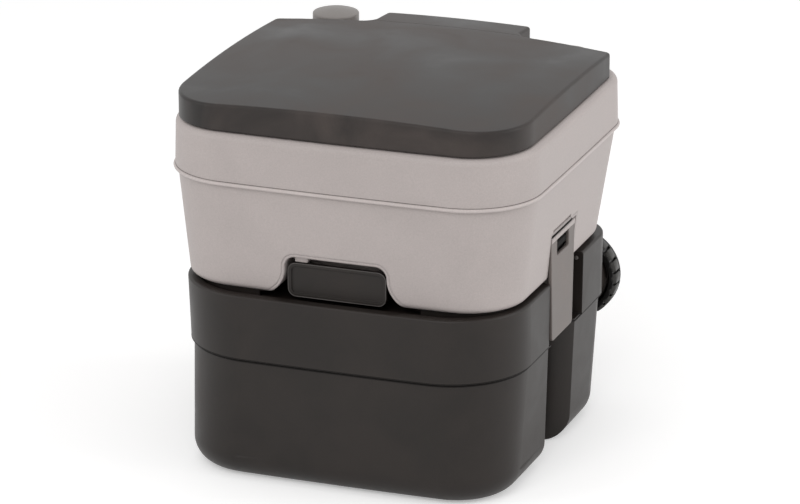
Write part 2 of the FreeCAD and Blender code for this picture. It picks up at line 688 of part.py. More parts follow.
def valve_blade():
    """Flat blade with a rounded leading edge and the strip that carries the handle."""
    blade = box(-BLADE_HALF_WIDTH, BLADE_HALF_WIDTH, -BLADE_FRONT, BLADE_BACK, BLADE_Z,
                BLADE_Z + BLADE_THICKNESS)
    blade = round_edges(blade, BLADE_CORNER,
                        lambda edge: edge.BoundBox.ZLength > 1 and edge.CenterOfMass.y < 0)
    strip = box(-STRIP_HALF_WIDTH, STRIP_HALF_WIDTH, -HANDLE_FRONT + HANDLE_THICKNESS + HANDLE_GRIP_DEPTH,
                -BLADE_FRONT, BLADE_Z, BLADE_Z + BLADE_THICKNESS)
    return fused([blade, strip])


def handle_outline(inset, y):
    """The handle's rounded rectangle, upright, in the plane of constant y."""
    flat = rounded_rectangle(-HANDLE_HALF_WIDTH + inset, HANDLE_HALF_WIDTH - inset, HANDLE_BOTTOM_Z + inset,
                             HANDLE_TOP_Z - inset, HANDLE_CORNER - inset, 0)
    flat.rotate(V(0, 0, 0), X_AXIS, 90)
    flat.translate(V(0, y, 0))
    return flat


def valve_handle():
    """Drawer-pull handle: a front plate with a raised border and a finger trough open at the top."""
    face_y = -HANDLE_FRONT
    plate = Part.Face(handle_outline(0, face_y)).extrude(V(0, HANDLE_THICKNESS, 0))
    border = Part.Face(handle_outline(0, face_y - HANDLE_RIM)).extrude(V(0, HANDLE_RIM, 0))
    border = border.cut(Part.Face(handle_outline(HANDLE_RIM_WIDTH, face_y - HANDLE_RIM - 1)).extrude(
        V(0, HANDLE_RIM + 2, 0)))
    back_y = face_y + HANDLE_THICKNESS + HANDLE_GRIP_DEPTH
    half = HANDLE_HALF_WIDTH - HANDLE_TROUGH_INSET
    strip_top = BLADE_Z + BLADE_THICKNESS
    trough = box(-half, half, face_y + HANDLE_THICKNESS, back_y, HANDLE_BOTTOM_Z,
                 HANDLE_TOP_Z - HANDLE_TROUGH_DROP)
    hollow = box(-half + HANDLE_WALL, half - HANDLE_WALL, face_y + HANDLE_THICKNESS, back_y - HANDLE_WALL,
                 strip_top + HANDLE_WALL, HANDLE_TOP_Z + 1)
    foot = box(-STRIP_HALF_WIDTH, STRIP_HALF_WIDTH, back_y - HANDLE_WALL, back_y + HANDLE_FOOT_LENGTH,
               strip_top, strip_top + HANDLE_WALL)
    return fused([plate, border, trough.cut(hollow), foot])


# ---------------------------------------------------------------- side latches: the right one, then mirrored
def latch_face(z0, z1, x, clearance=0.0):
    """The latch's tapered outline as an upright wire in the plane of constant x."""
    def half(z):
        share = (z - LATCH_BOTTOM_Z) / (LATCH_TOP_Z - LATCH_BOTTOM_Z)
        return LATCH_BOTTOM_HALF_WIDTH + (LATCH_TOP_HALF_WIDTH - LATCH_BOTTOM_HALF_WIDTH) * share + clearance
    points = [V(x, LATCH_Y - half(z0), z0), V(x, LATCH_Y + half(z0), z0), V(x, LATCH_Y + half(z1), z1),
              V(x, LATCH_Y - half(z1), z1)]
    return Part.Wire(Part.makePolygon(points + points[:1]).Edges)


def latch_right():
    """Tapered plate with a window near its top and a hinge barrel at its foot."""
    inner_x = LATCH_OUTER_X - LATCH_THICKNESS
    plate = Part.Face(latch_face(LATCH_BOTTOM_Z, LATCH_TOP_Z, inner_x)).extrude(V(LATCH_THICKNESS, 0, 0))
    plate = round_edges(plate, LATCH_CORNER, lambda edge: edge.BoundBox.XLength > LATCH_THICKNESS * 0.9)
    window = box(inner_x - 1, LATCH_OUTER_X + 1, LATCH_Y - WINDOW_HALF_WIDTH, LATCH_Y + WINDOW_HALF_WIDTH,
                 WINDOW_BOTTOM_Z, WINDOW_TOP_Z)
    window = round_edges(window, WINDOW_ROUND, lambda edge: edge.BoundBox.XLength > LATCH_THICKNESS)
    plate = plate.cut(window)
    plate = round_edges(plate, LATCH_EDGE_ROUND, lambda edge: abs(edge.BoundBox.XMin - LATCH_OUTER_X) < 0.01)
    half_barrel = LATCH_BARREL_LENGTH / 2.0
    barrel = cylinder(LATCH_BARREL_RADIUS, V(LATCH_PIN_X, LATCH_Y - half_barrel, LATCH_PIN_Z),
                      V(LATCH_PIN_X, LATCH_Y + half_barrel, LATCH_PIN_Z))
    web = box(LATCH_PIN_X, inner_x + 0.5, LATCH_Y - half_barrel, LATCH_Y + half_barrel,
              LATCH_PIN_Z - LATCH_WEB_BELOW, LATCH_PIN_Z + LATCH_BARREL_RADIUS)
    ribs = []
    for side in (-1, 1):
        y = LATCH_Y + side * (half_barrel - LATCH_RIB_INSET)
        ribs.append(box(inner_x - LATCH_RIB_HEIGHT, inner_x + 0.5, y - LATCH_RIB_THICKNESS / 2,
                        y + LATCH_RIB_THICKNESS / 2, LATCH_PIN_Z, WINDOW_BOTTOM_Z - LATCH_RIB_END))
    solid = fused([plate, barrel, web] + ribs)
    bore = cylinder(LATCH_PIN_RADIUS + LATCH_PIN_CLEARANCE, V(LATCH_PIN_X, LATCH_Y - BEYOND, LATCH_PIN_Z),
                    V(LATCH_PIN_X, LATCH_Y + BEYOND, LATCH_PIN_Z))
    return solid.cut(bore)


def latch_bracket_right():
    """Two ears on a plate at the back of the hand-grip channel, which hold the latch's pin."""
    half = LATCH_BARREL_LENGTH / 2.0 + LATCH_EAR_GAP
    outer_half = half + LATCH_EAR_THICKNESS
    top = LATCH_PIN_Z + LATCH_FOOT_ABOVE
    foot = box(GRIP_FLOOR_X, GRIP_FLOOR_X + LATCH_FOOT_THICKNESS, LATCH_Y - outer_half, LATCH_Y + outer_half,
               LATCH_PIN_Z - LATCH_FOOT_BELOW, top)
    pieces = [foot]
    for side in (-1, 1):
        y0 = LATCH_Y + side * half
        y1 = LATCH_Y + side * outer_half
        low = LATCH_PIN_Z - LATCH_EAR_BELOW
        profile = Part.makePolygon([
            V(GRIP_FLOOR_X, 0, low),
            V(LATCH_PIN_X, 0, low),
            V(LATCH_PIN_X, 0, LATCH_PIN_Z + LATCH_EYE_RADIUS),
            V(GRIP_FLOOR_X, 0, top),
            V(GRIP_FLOOR_X, 0, low),
        ])
        ear = Part.Face(Part.Wire(profile.Edges)).extrude(V(0, abs(y1 - y0), 0))
        ear.translate(V(0, min(y0, y1), 0))
        eye = cylinder(LATCH_EYE_RADIUS, V(LATCH_PIN_X, y0, LATCH_PIN_Z), V(LATCH_PIN_X, y1, LATCH_PIN_Z))
        pieces.append(ear)
        pieces.append(eye)
    solid = fused(pieces)
    return solid.cut(latch_pin_right())


def latch_pin_right():
    reach = LATCH_BARREL_LENGTH / 2.0 + LATCH_EAR_GAP + LATCH_EAR_THICKNESS
    return cylinder(LATCH_PIN_RADIUS, V(LATCH_PIN_X, LATCH_Y - reach, LATCH_PIN_Z),
                    V(LATCH_PIN_X, LATCH_Y + reach, LATCH_PIN_Z))


def catch_right():
    """Keeper on the flush tank: a foot on the pocket's floor and a nose with a sloping top."""
    nose_x = LATCH_OUTER_X - CATCH_RECESS
    top = WINDOW_TOP_Z - CATCH_DROP
    y0 = LATCH_Y - CATCH_HALF_WIDTH
    bottom = top - CATCH_HEIGHT
    profile = Part.makePolygon([
        V(POCKET_FLOOR_X, y0, bottom),
        V(nose_x, y0, bottom + CATCH_SLOPE),
        V(nose_x, y0, top - CATCH_SLOPE),
        V(POCKET_FLOOR_X + CATCH_TOP_FLAT, y0, top),
        V(POCKET_FLOOR_X, y0, top),
        V(POCKET_FLOOR_X, y0, bottom),
    ])
    return Part.Face(Part.Wire(profile.Edges)).extrude(V(0, 2 * CATCH_HALF_WIDTH, 0))


# ---------------------------------------------------------------- screw caps
def ribbed_cap(centre, axis, radius, length, wall, inner_radius, ribs, rib_depth):
    """A cup with scalloped grip ribs; centre is on the rim's plane and axis points to the closed end."""
    body = cylinder(radius, centre, centre + axis * length)
    hole = cylinder(inner_radius, centre - axis, centre + axis * (length - wall))
    body = body.cut(hole)
    side = X_AXIS if abs(axis.x) < 0.5 else Y_AXIS
    turn = FreeCAD.Rotation(axis, 360.0 / ribs)
    scallop_radius = pi * radius / ribs * SCALLOP_SHARE
    arm = side * (radius + scallop_radius - rib_depth)
    cutters = []
    for count in range(ribs):
        foot = centre + arm - axis
        cutters.append(cylinder(scallop_radius, foot, foot + axis * (length - SCALLOP_END)))
        arm = turn.multVec(arm)
    body = body.cut(Part.makeCompound(cutters))
    return body


def spout_cap():
    inner = SPOUT_NECK_RADIUS + CAP_THREAD_DEPTH
    cap = ribbed_cap(V(SPOUT_X, CAP_START_Y, SPOUT_Z), Y_AXIS, CAP_RADIUS, CAP_LENGTH,
                     CAP_END_Y - SPOUT_NECK_END_Y - GASKET_THICKNESS - 2 * GASKET_SEAT_GAP, inner, CAP_RIBS,
                     CAP_RIB_DEPTH)
    dish = cylinder(CAP_RADIUS - CAP_DISH_INSET, V(SPOUT_X, CAP_END_Y - CAP_DISH_DEPTH, SPOUT_Z),
                    V(SPOUT_X, CAP_END_Y + 1, SPOUT_Z))
    return cap.cut(dish)


def spout_gasket():
    start = SPOUT_NECK_END_Y + GASKET_SEAT_GAP
    return ring(SPOUT_NECK_RADIUS, SPOUT_BORE_RADIUS, V(SPOUT_X, start, SPOUT_Z),
                V(SPOUT_X, start + GASKET_THICKNESS, SPOUT_Z))


def filler_cap():
    floor_z = FILLER_NECK_TOP_Z + GASKET_THICKNESS + 2 * GASKET_SEAT_GAP
    start = floor_z + FILLER_CAP_WALL - FILLER_CAP_HEIGHT
    inner = FILLER_NECK_RADIUS + FILLER_THREAD_DEPTH
    return ribbed_cap(V(FILLER_X, FILLER_Y, start), Z_AXIS, FILLER_CAP_RADIUS, FILLER_CAP_HEIGHT,
                      FILLER_CAP_WALL, inner, FILLER_CAP_RIBS, FILLER_RIB_DEPTH)


def filler_gasket():
    start = FILLER_NECK_TOP_Z + GASKET_SEAT_GAP
    return ring(FILLER_NECK_RADIUS, FILLER_BORE_RADIUS, V(FILLER_X, FILLER_Y, start),
                V(FILLER_X, FILLER_Y, start + GASKET_THICKNESS))


# ---------------------------------------------------------------- flush tank
def flush_bottom_outline(inset, z):
    return bowed_outline(FLUSH_BOTTOM_HALF_WIDTH - inset, FLUSH_BOTTOM_FRONT - inset,
                         FLUSH_BOTTOM_BACK - inset, FLUSH_BOTTOM_CORNER - inset, FLUSH_BOTTOM_CORNER - inset,
                         FLUSH_BOW, FLUSH_SIDE_BOW, FLUSH_BOW, z)


def ridge_outline(inset, z):
    return bowed_outline(RIDGE_HALF_WIDTH - inset, RIDGE_FRONT - inset, RIDGE_BACK - inset,
                         RIDGE_CORNER_FRONT - inset, RIDGE_CORNER_BACK - inset, FLUSH_BOW, FLUSH_SIDE_BOW,
                         FLUSH_BOW, z)


def notch_space(grow):
    """The front notch for the valve handle, with small upper and large lower corner rounds."""
    half = NOTCH_HALF_WIDTH + grow
    top = NOTCH_TOP_Z + grow
    small = NOTCH_TOP_ROUND + grow
    large = LOBE_ROUND - grow
    lobe_z = FLUSH_BOTTOM_Z - RIM_GAP + LOBE_ROUND
    outer = half + large
    below = FLUSH_BOTTOM_Z - BEYOND
    lobe = V(outer, 0, lobe_z)
    shoulder = V(half - small, 0, top - small)
    right = [V(outer, 0, below), V(outer, 0, lobe_z - large), V(half, 0, lobe_z), V(half, 0, top - small),
             V(half - small, 0, top)]
    left = [mirrored(point) for point in right]
    edges = [
        Part.makeLine(left[0], right[0]),
        Part.makeLine(right[0], right[1]),
        arc_through(lobe, large, right[1], right[2]),
        Part.makeLine(right[2], right[3]),
        arc_through(shoulder, small, right[3], right[4]),
        Part.makeLine(right[4], left[4]),
        arc_through(mirrored(shoulder), small, left[4], left[3]),
        Part.makeLine(left[3], left[2]),
        arc_through(mirrored(lobe), large, left[2], left[1]),
        Part.makeLine(left[1], left[0]),
    ]
    face = Part.Face(Part.Wire(edges))
    face.translate(V(0, -RIDGE_FRONT - BEYOND, 0))
    return face.extrude(V(0, RIDGE_FRONT + BEYOND - NOTCH_DEPTH_Y + grow, 0))


def tunnel_space(grow):
    """Room under the flush tank for the valve, open to the front notch."""
    return box(-TUNNEL_HALF_WIDTH - grow, TUNNEL_HALF_WIDTH + grow, -NOTCH_DEPTH_Y - FIT - grow,
               TUNNEL_BACK + grow, 0, TUNNEL_TOP_Z + grow)


def latch_space(grow):
    """Pocket in the flush tank's right wall in which the latch stands."""
    face = Part.Face(latch_face(FLUSH_BOTTOM_Z - BEYOND, POCKET_TOP_Z + grow, POCKET_FLOOR_X - grow,
                                POCKET_CLEARANCE + grow))
    return face.extrude(V(BEYOND, 0, 0))


def ledge_groove():
    """Narrow slit above the ledge over the latch."""
    z0 = POCKET_TOP_Z + LEDGE_HEIGHT
    share = (z0 - FLUSH_BOTTOM_Z) / RIDGE_HEIGHT
    wall_x = FLUSH_BOTTOM_HALF_WIDTH + (RIDGE_HALF_WIDTH - RIDGE_STEP - FLUSH_BOTTOM_HALF_WIDTH) * share
    y = LATCH_Y - GROOVE_FORWARD
    return box(wall_x - GROOVE_DEPTH, wall_x + BEYOND, y - GROOVE_HALF_LENGTH, y + GROOVE_HALF_LENGTH, z0,
               z0 + GROOVE_HEIGHT)


def base_block(inset, height):
    """The tray's free space in plan, less the valve's tunnel and the latches' room."""
    extra = inset - RIM_LIP - PLINTH_FIT
    floor_z = TRAY_Z + PLINTH_GAP
    block = prism(rim_outline(inset, floor_z), height)
    block = block.common(prism(flush_bottom_outline(PLINTH_INSET + extra, floor_z), height))
    block = without_sides(block, grip_space_high(inset))
    block = without_sides(block, latch_space(extra))
    return block.cut(tunnel_space(extra)).cut(notch_space(extra))


def flush_base():
    """Foot of the flush tank, which nests in the waste tank's tray; it is hollow underneath."""
    inset = RIM_LIP + PLINTH_FIT
    height = FLUSH_BOTTOM_Z - TRAY_Z - PLINTH_GAP
    return base_block(inset, height).cut(base_block(inset + WALL, height - WALL))


def flush_low_body():
    lead_z = RIDGE_Z - RIDGE_LEAD
    body = loft([flush_bottom_outline(0, FLUSH_BOTTOM_Z), ridge_outline(RIDGE_STEP, lead_z)])
    body = round_edges(body, FLUSH_BOTTOM_ROUND, lambda edge: lies_at_z(edge, FLUSH_BOTTOM_Z))
    bead = loft([ridge_outline(RIDGE_STEP, lead_z), ridge_outline(0, RIDGE_Z)])
    return fused([body, bead])


def flush_tank(body):
    """Lower shell of the flush tank, from its floor to the ridge."""
    lead_z = RIDGE_Z - RIDGE_LEAD
    top = ridge_outline(RIDGE_STEP + WALL, lead_z)
    low = loft([flush_bottom_outline(2 * WALL, FLUSH_BOTTOM_Z + WALL), top])
    cavity = fused([low, prism(top, RIDGE_LEAD)])
    shell = body.cut(cavity.cut(tunnel_space(WALL)))
    shell = without_sides(shell, latch_space(WALL))
    shell = without_sides(shell, ledge_groove())
    shell = shell.cut(notch_space(WALL)).cut(tunnel_space(0))
    hole = cylinder(SPIGOT_RADIUS + FIT, V(0, 0, TUNNEL_TOP_Z - WALL), V(0, 0, TUNNEL_TOP_Z + 2 * WALL))
    return shell.cut(hole)


def handle_recess(body):
    """Tub welded into the flush tank's front, in which the valve handle stands."""
    return body.common(notch_space(WALL)).cut(notch_space(0)).cut(tunnel_space(0))


def latch_pocket_right(body):
    """Tub welded into the flush tank's side, in which the latch stands."""
    return body.common(latch_space(WALL)).cut(latch_space(0))


def flush_deck():
    """Upper shell of the flush tank: the band above the ridge and the deck for bowl, seat and pump."""
    root_z = DECK_Z - BEYOND / 2
    band = loft([ridge_outline(0, RIDGE_Z), ridge_outline(DECK_INSET, DECK_Z)])
    band = round_edges(band, DECK_ROUND, lambda edge: lies_at_z(edge, DECK_Z))
    cavity = loft([ridge_outline(WALL, RIDGE_Z), ridge_outline(DECK_INSET + WALL, DECK_Z - WALL)])
    shell = band.cut(cavity)
    openings = [
        cylinder(PUMP_HOUSING_RADIUS, V(PUMP_X, PUMP_Y, root_z), V(PUMP_X, PUMP_Y, DECK_Z + WALL)),
        cylinder(FILLER_NECK_RADIUS, V(FILLER_X, FILLER_Y, root_z), V(FILLER_X, FILLER_Y, DECK_Z + WALL)),
        prism(oval_wire(BOWL_HALF_WIDTH + FIT, BOWL_HALF_LENGTH + FIT, BOWL_Y, root_z), BEYOND),
    ]
    for space in openings:
        shell = shell.cut(space)
    return shell


def pump_housing():
    """Cup that hangs in the deck and holds the bellows, with ways out to the intake and the flush pipe."""
    centre = V(PUMP_X, PUMP_Y, 0)
    body = cylinder(PUMP_HOUSING_RADIUS, centre + Z_AXIS * (WELL_FLOOR_Z - WALL),
                    centre + Z_AXIS * PUMP_TURRET_Z)
    flange = cylinder(PUMP_TURRET_RADIUS, centre + Z_AXIS * DECK_Z, centre + Z_AXIS * PUMP_TURRET_Z)
    well = cylinder(PUMP_WELL_RADIUS, centre + Z_AXIS * WELL_FLOOR_Z,
                    centre + Z_AXIS * (PUMP_TURRET_Z + WALL))
    way_down = cylinder(INTAKE_RADIUS, centre + Z_AXIS * (WELL_FLOOR_Z - 2 * WALL),
                        centre + Z_AXIS * DECK_Z)
    start, end = flush_pipe_ends()
    way_out = cylinder(FLUSH_PIPE_RADIUS - FLUSH_PIPE_WALL, start, end)
    return fused([body, flange]).cut(well).cut(way_down).cut(way_out)


def filler_neck():
    return ring(FILLER_NECK_RADIUS, FILLER_BORE_RADIUS, V(FILLER_X, FILLER_Y, DECK_Z - FILLER_NECK_ROOT),
                V(FILLER_X, FILLER_Y, FILLER_NECK_TOP_Z))


def hinge_lugs():
    """Two upright lugs on the deck that carry the hinge pins."""
    lugs = []
    for side in (-1, 1):
        x0 = min(side * LUG_INNER_X, side * LUG_OUTER_X)
        x1 = max(side * LUG_INNER_X, side * LUG_OUTER_X)
        post = box(x0, x1, HINGE_Y - KNUCKLE_RADIUS, HINGE_Y + LUG_BACK, DECK_Z, HINGE_Z)
        eye = cylinder(KNUCKLE_RADIUS, V(x0, HINGE_Y, HINGE_Z), V(x1, HINGE_Y, HINGE_Z))
        hole = cylinder(HINGE_PIN_RADIUS + HINGE_PIN_CLEARANCE, V(x0 - WALL, HINGE_Y, HINGE_Z),
                        V(x1 + WALL, HINGE_Y, HINGE_Z))
        lugs.append(fused([post, eye]).cut(hole))
    return Part.makeCompound(lugs)


def hinge_pins():
    pins = []
    for side in (-1, 1):
        pins.append(cylinder(HINGE_PIN_RADIUS, V(side * (LUG_INNER_X + FIT), HINGE_Y, HINGE_Z),
                             V(side * (TAB_HALF_WIDTH - PIN_END_COVER), HINGE_Y, HINGE_Z)))
    return Part.makeCompound(pins)


# ---------------------------------------------------------------- bowl and plumbing
def bowl_funnel(grow, top_z):
    """The funnel from the oval mouth to the round throat; grow moves its surface outwards."""
    return Part.makeLoft([
        oval_wire(BOWL_HALF_WIDTH - BOWL_WALL + grow, BOWL_HALF_LENGTH - BOWL_WALL + grow, BOWL_Y, top_z),
        oval_wire(BOWL_WAIST_HALF_WIDTH - BOWL_WALL + grow, BOWL_WAIST_HALF_LENGTH - BOWL_WALL + grow,
                  BOWL_WAIST_Y, BOWL_WAIST_Z),
        oval_wire(BOWL_THROAT_RADIUS - BOWL_WALL + grow, BOWL_THROAT_RADIUS - BOWL_WALL + grow, 0,
                  BOWL_THROAT_Z),
    ], True, False)


def bowl():
    """Funnel with a flange that rests on the deck and a spigot that presses on the lip seal."""
    flange_top = DECK_Z + BOWL_FLANGE_THICKNESS
    foot_z = SEAL_TOP_Z + SPIGOT_GAP
    flange = prism(oval_wire(BOWL_HALF_WIDTH + BOWL_FLANGE, BOWL_HALF_LENGTH + BOWL_FLANGE, BOWL_Y, DECK_Z),
                   BOWL_FLANGE_THICKNESS)
    spigot = cylinder(BOWL_THROAT_RADIUS - BOWL_STEP, V(0, 0, foot_z), V(0, 0, BOWL_THROAT_Z + 1.0))
    collar = cylinder(SPIGOT_RADIUS, V(0, 0, foot_z), V(0, 0, TUNNEL_TOP_Z + WALL + 1))
    solid = fused([flange, bowl_funnel(BOWL_WALL, DECK_Z + 1.0), spigot, collar])
    solid = solid.cut(bowl_funnel(0, flange_top + 1.0))
    bore = BOWL_THROAT_RADIUS - BOWL_WALL - BOWL_STEP
    solid = solid.cut(cylinder(bore, V(0, 0, foot_z - 1), V(0, 0, BOWL_THROAT_Z + 2.0)))
    return solid.cut(nozzle_hole())


def nozzle_centre():
    return V(0, BOWL_Y + BOWL_HALF_LENGTH, DECK_Z - NOZZLE_DROP - NOZZLE_HEIGHT / 2.0)


def nozzle_hole():
    """Hole in the bowl's wall for the nozzle's lip."""
    middle = nozzle_centre()
    half = NOZZLE_WIDTH / 2 - NOZZLE_LIP_INSET + FIT
    half_height = NOZZLE_LIP_HEIGHT / 2 + FIT
    return box(-half, half, middle.y - BEYOND / 2, middle.y + NOZZLE_LIP_INSET, middle.z - half_height,
               middle.z + half_height)


def flush_nozzle():
    """Flat fan nozzle on the back of the bowl; its mouth passes through the bowl's wall."""
    middle = nozzle_centre()
    body = box(-NOZZLE_WIDTH / 2, NOZZLE_WIDTH / 2, middle.y + NOZZLE_STAND, middle.y + NOZZLE_DEPTH,
               middle.z - NOZZLE_HEIGHT / 2, middle.z + NOZZLE_HEIGHT / 2)
    half = NOZZLE_WIDTH / 2 - NOZZLE_LIP_INSET
    lip = box(-half, half, middle.y - NOZZLE_LIP_LENGTH, middle.y + NOZZLE_STAND + 0.5,
              middle.z - NOZZLE_LIP_HEIGHT / 2, middle.z + NOZZLE_LIP_HEIGHT / 2)
    solid = fused([body, lip])
    slot_half = half - NOZZLE_WALL
    slot = box(-slot_half, slot_half, middle.y - NOZZLE_LIP_LENGTH - 1,
               middle.y + NOZZLE_DEPTH - NOZZLE_SLOT_STOP, middle.z - NOZZLE_SLOT_HEIGHT / 2,
               middle.z + NOZZLE_SLOT_HEIGHT / 2)
    start, end = flush_pipe_ends()
    return solid.cut(slot).cut(cylinder(FLUSH_PIPE_RADIUS, start, end))


def pump_intake():
    """Slanting tube from the pump's housing down to just above the flush tank's floor."""
    top = V(PUMP_X, PUMP_Y, WELL_FLOOR_Z)
    foot = V(PUMP_X + INTAKE_LEAN, PUMP_Y - INTAKE_LEAN_FORWARD, FLUSH_BOTTOM_Z + WALL + INTAKE_FOOT_GAP)
    elbow = top - V(0, 0, INTAKE_SOCKET)
    down = foot - elbow
    down.normalize()
    beyond = foot + down * BEYOND
    outside = [cylinder(INTAKE_RADIUS, top, elbow), Part.makeSphere(INTAKE_RADIUS, elbow),
               cylinder(INTAKE_RADIUS, elbow, foot)]
    bore_radius = INTAKE_RADIUS - INTAKE_WALL
    solid = fused(outside)
    for bore in (cylinder(bore_radius, top + Z_AXIS, elbow), Part.makeSphere(bore_radius, elbow),
                 cylinder(bore_radius, elbow, beyond)):
        solid = solid.cut(bore)
    return solid


def flush_pipe_ends():
    """Axis points of the flush pipe: its end in the nozzle and the pump's axis."""
    middle = nozzle_centre()
    start = V(-NOZZLE_WIDTH / 2 + PIPE_SOCKET, middle.y + NOZZLE_DEPTH / 2, middle.z)
    return start, V(PUMP_X, PUMP_Y, middle.z)


def flush_pipe():
    """Straight tube from the pump's housing to the nozzle's side."""
    start, end = flush_pipe_ends()
    pipe = ring(FLUSH_PIPE_RADIUS, FLUSH_PIPE_RADIUS - FLUSH_PIPE_WALL, start, end)
    return pipe.cut(cylinder(PUMP_HOUSING_RADIUS, V(PUMP_X, PUMP_Y, WELL_FLOOR_Z), V(PUMP_X, PUMP_Y, DECK_Z)))


def pump_collar():
    """Threaded ring that holds the bellows in the pump's housing."""
    top = PUMP_TURRET_Z + PUMP_COLLAR_HEIGHT
    body = ring(PUMP_COLLAR_RADIUS, PUMP_WELL_RADIUS - PUMP_COLLAR_LIP, V(PUMP_X, PUMP_Y, PUMP_TURRET_Z),
                V(PUMP_X, PUMP_Y, top))
    return round_edges(body, PUMP_COLLAR_ROUND, lambda edge: lies_at_z(edge, top))


def pump_bellows():
    """Pleated bellows from the well's floor to the knob."""
    z0 = WELL_FLOOR_Z
    z1 = KNOB_BOTTOM_Z
    pitch = (z1 - z0) / BELLOWS_PLEATS
    root = BELLOWS_RADIUS - BELLOWS_FOLD
    outside = [V(root, 0, z0)]
    inside = [V(root - BELLOWS_WALL, 0, z0)]
    for pleat in range(BELLOWS_PLEATS):
        middle = z0 + (pleat + 0.5) * pitch
        end = z0 + (pleat + 1) * pitch
        outside.append(V(BELLOWS_RADIUS, 0, middle))
        outside.append(V(root, 0, end))
        inside.append(V(BELLOWS_RADIUS - BELLOWS_WALL, 0, middle))
        inside.append(V(root - BELLOWS_WALL, 0, end))
    points = outside + inside[::-1] + outside[:1]
    shape = Part.Face(Part.Wire(Part.makePolygon(points).Edges)).revolve(V(0, 0, 0), Z_AXIS, 360)
    shape.translate(V(PUMP_X, PUMP_Y, 0))
    return shape


def pump_knob():
    """Mushroom knob with a low crown, a skirt and a boss that carries the bellows."""
    crown_radius = bulge_circle(KNOB_RADIUS - KNOB_ROUND, KNOB_CROWN)
    top = KNOB_RIM_Z + KNOB_CROWN
    disc = cylinder(KNOB_RADIUS, V(PUMP_X, PUMP_Y, KNOB_BOTTOM_Z), V(PUMP_X, PUMP_Y, top))
    disc = disc.common(Part.makeSphere(crown_radius, V(PUMP_X, PUMP_Y, top - crown_radius)))
    rim_z = top - crown_radius + sqrt(crown_radius ** 2 - KNOB_RADIUS ** 2)
    disc = round_edges(disc, KNOB_ROUND, lambda edge: lies_at_z(edge, rim_z))
    recess = ring(KNOB_RADIUS - KNOB_SKIRT, BELLOWS_RADIUS - BELLOWS_FOLD + FIT, V(PUMP_X, PUMP_Y, DECK_Z),
                  V(PUMP_X, PUMP_Y, KNOB_RIM_Z - WALL))
    return disc.cut(recess)


# ---------------------------------------------------------------- seat
def seat_outline(inset, z):
    gap = WALL + SEAT_CLEARANCE + inset
    back = LID_BACK - gap - SEAT_SWING_GAP
    return bowed_outline(LID_HALF_WIDTH - gap, LID_FRONT - gap, back, LID_CORNER_FRONT - gap,
                         SEAT_CORNER_BACK, LID_BOW_FRONT, LID_BOW_SIDE, LID_BOW_BACK, z)


def seat_hole(inset, z, height):
    return prism(oval_wire(SEAT_HOLE_HALF_WIDTH - inset, SEAT_HOLE_HALF_LENGTH - inset, BOWL_Y, z), height)


def seat():
    """Oval-holed seat, hollow underneath with radial ribs, and two knuckle arms at the back."""
    height = SEAT_TOP_Z - SEAT_BOTTOM_Z
    body = prism(seat_outline(0, SEAT_BOTTOM_Z), height)
    body = round_edges(body, SEAT_ROUND, lambda edge: lies_at_z(edge, SEAT_TOP_Z))
    body = body.cut(seat_hole(0, SEAT_BOTTOM_Z - 1, height + 2))
    body = round_edges(body, SEAT_HOLE_ROUND,
                       lambda edge: lies_at_z(edge, SEAT_TOP_Z) and len(edge.Vertexes) == 1)
    hollow = prism(seat_outline(SEAT_WALL, SEAT_BOTTOM_Z - 1), height - SEAT_WALL + 1)
    hollow = hollow.cut(seat_hole(-SEAT_WALL, SEAT_BOTTOM_Z - 2, height + 4))
    ribs = []
    for count in range(SEAT_RIBS):
        turn = 360.0 / SEAT_RIBS * (count + 0.5)
        rib = box(0, 2 * LID_HALF_WIDTH, -SEAT_RIB_THICKNESS / 2, SEAT_RIB_THICKNESS / 2,
                  SEAT_BOTTOM_Z + SEAT_WALL, SEAT_TOP_Z)
        rib.rotate(V(0, 0, 0), Z_AXIS, turn)
        rib.translate(V(0, BOWL_Y, 0))
        ribs.append(rib)
    bosses = []
    for x, y in bumper_places():
        bosses.append(cylinder(BUMPER_RADIUS + BUMPER_BOSS_WALL, V(x, y, BUMPER_SEAT_Z), V(x, y, SEAT_TOP_Z)))
    hollow = hollow.cut(Part.makeCompound(ribs)).cut(Part.makeCompound(bosses))
    body = body.cut(hollow)
    pieces = [body]
    for side in (-1, 1):
        inner = LUG_OUTER_X + KNUCKLE_GAP
        x0 = min(side * inner, side * SEAT_KNUCKLE_OUTER_X)
        width = SEAT_KNUCKLE_OUTER_X - inner
        arm_front = LID_BACK - SEAT_ARM_ROOT
        arm = box(x0, x0 + width, arm_front, HINGE_Y, HINGE_Z - KNUCKLE_RADIUS, SEAT_TOP_Z)
        eye = cylinder(KNUCKLE_RADIUS, V(x0, HINGE_Y, HINGE_Z), V(x0 + width, HINGE_Y, HINGE_Z))
        pieces.append(arm)
        pieces.append(eye)
    body = fused(pieces)
    return body.cut(cylinder(HINGE_PIN_RADIUS, V(-TAB_HALF_WIDTH, HINGE_Y, HINGE_Z),
                             V(TAB_HALF_WIDTH, HINGE_Y, HINGE_Z)))


def bumper_places():
    return [(side * BUMPER_X, y) for side in (-1, 1) for y in (BUMPER_FRONT_Y, BUMPER_BACK_Y)]


def seat_bumpers():
    """Rubber pads between the seat and the deck."""
    pads = []
    for x, y in bumper_places():
        pads.append(cylinder(BUMPER_RADIUS, V(x, y, DECK_Z + BUMPER_GAP), V(x, y, BUMPER_SEAT_Z)))
    return Part.makeCompound(pads)


# ---------------------------------------------------------------- lid
def crown_ball(drop):
    radius = LID_CROWN_RADIUS - drop
    return Part.makeSphere(radius, V(0, 0, LID_APEX_Z - LID_CROWN_RADIUS))


def lid_outline(inset, z):
    corner_back = max(LID_CORNER_BACK - inset, LID_INNER_CORNER)
    return bowed_outline(LID_HALF_WIDTH - inset, LID_FRONT - inset, LID_BACK - inset,
                         LID_CORNER_FRONT - inset, corner_back, LID_BOW_FRONT, LID_BOW_SIDE, LID_BOW_BACK, z)


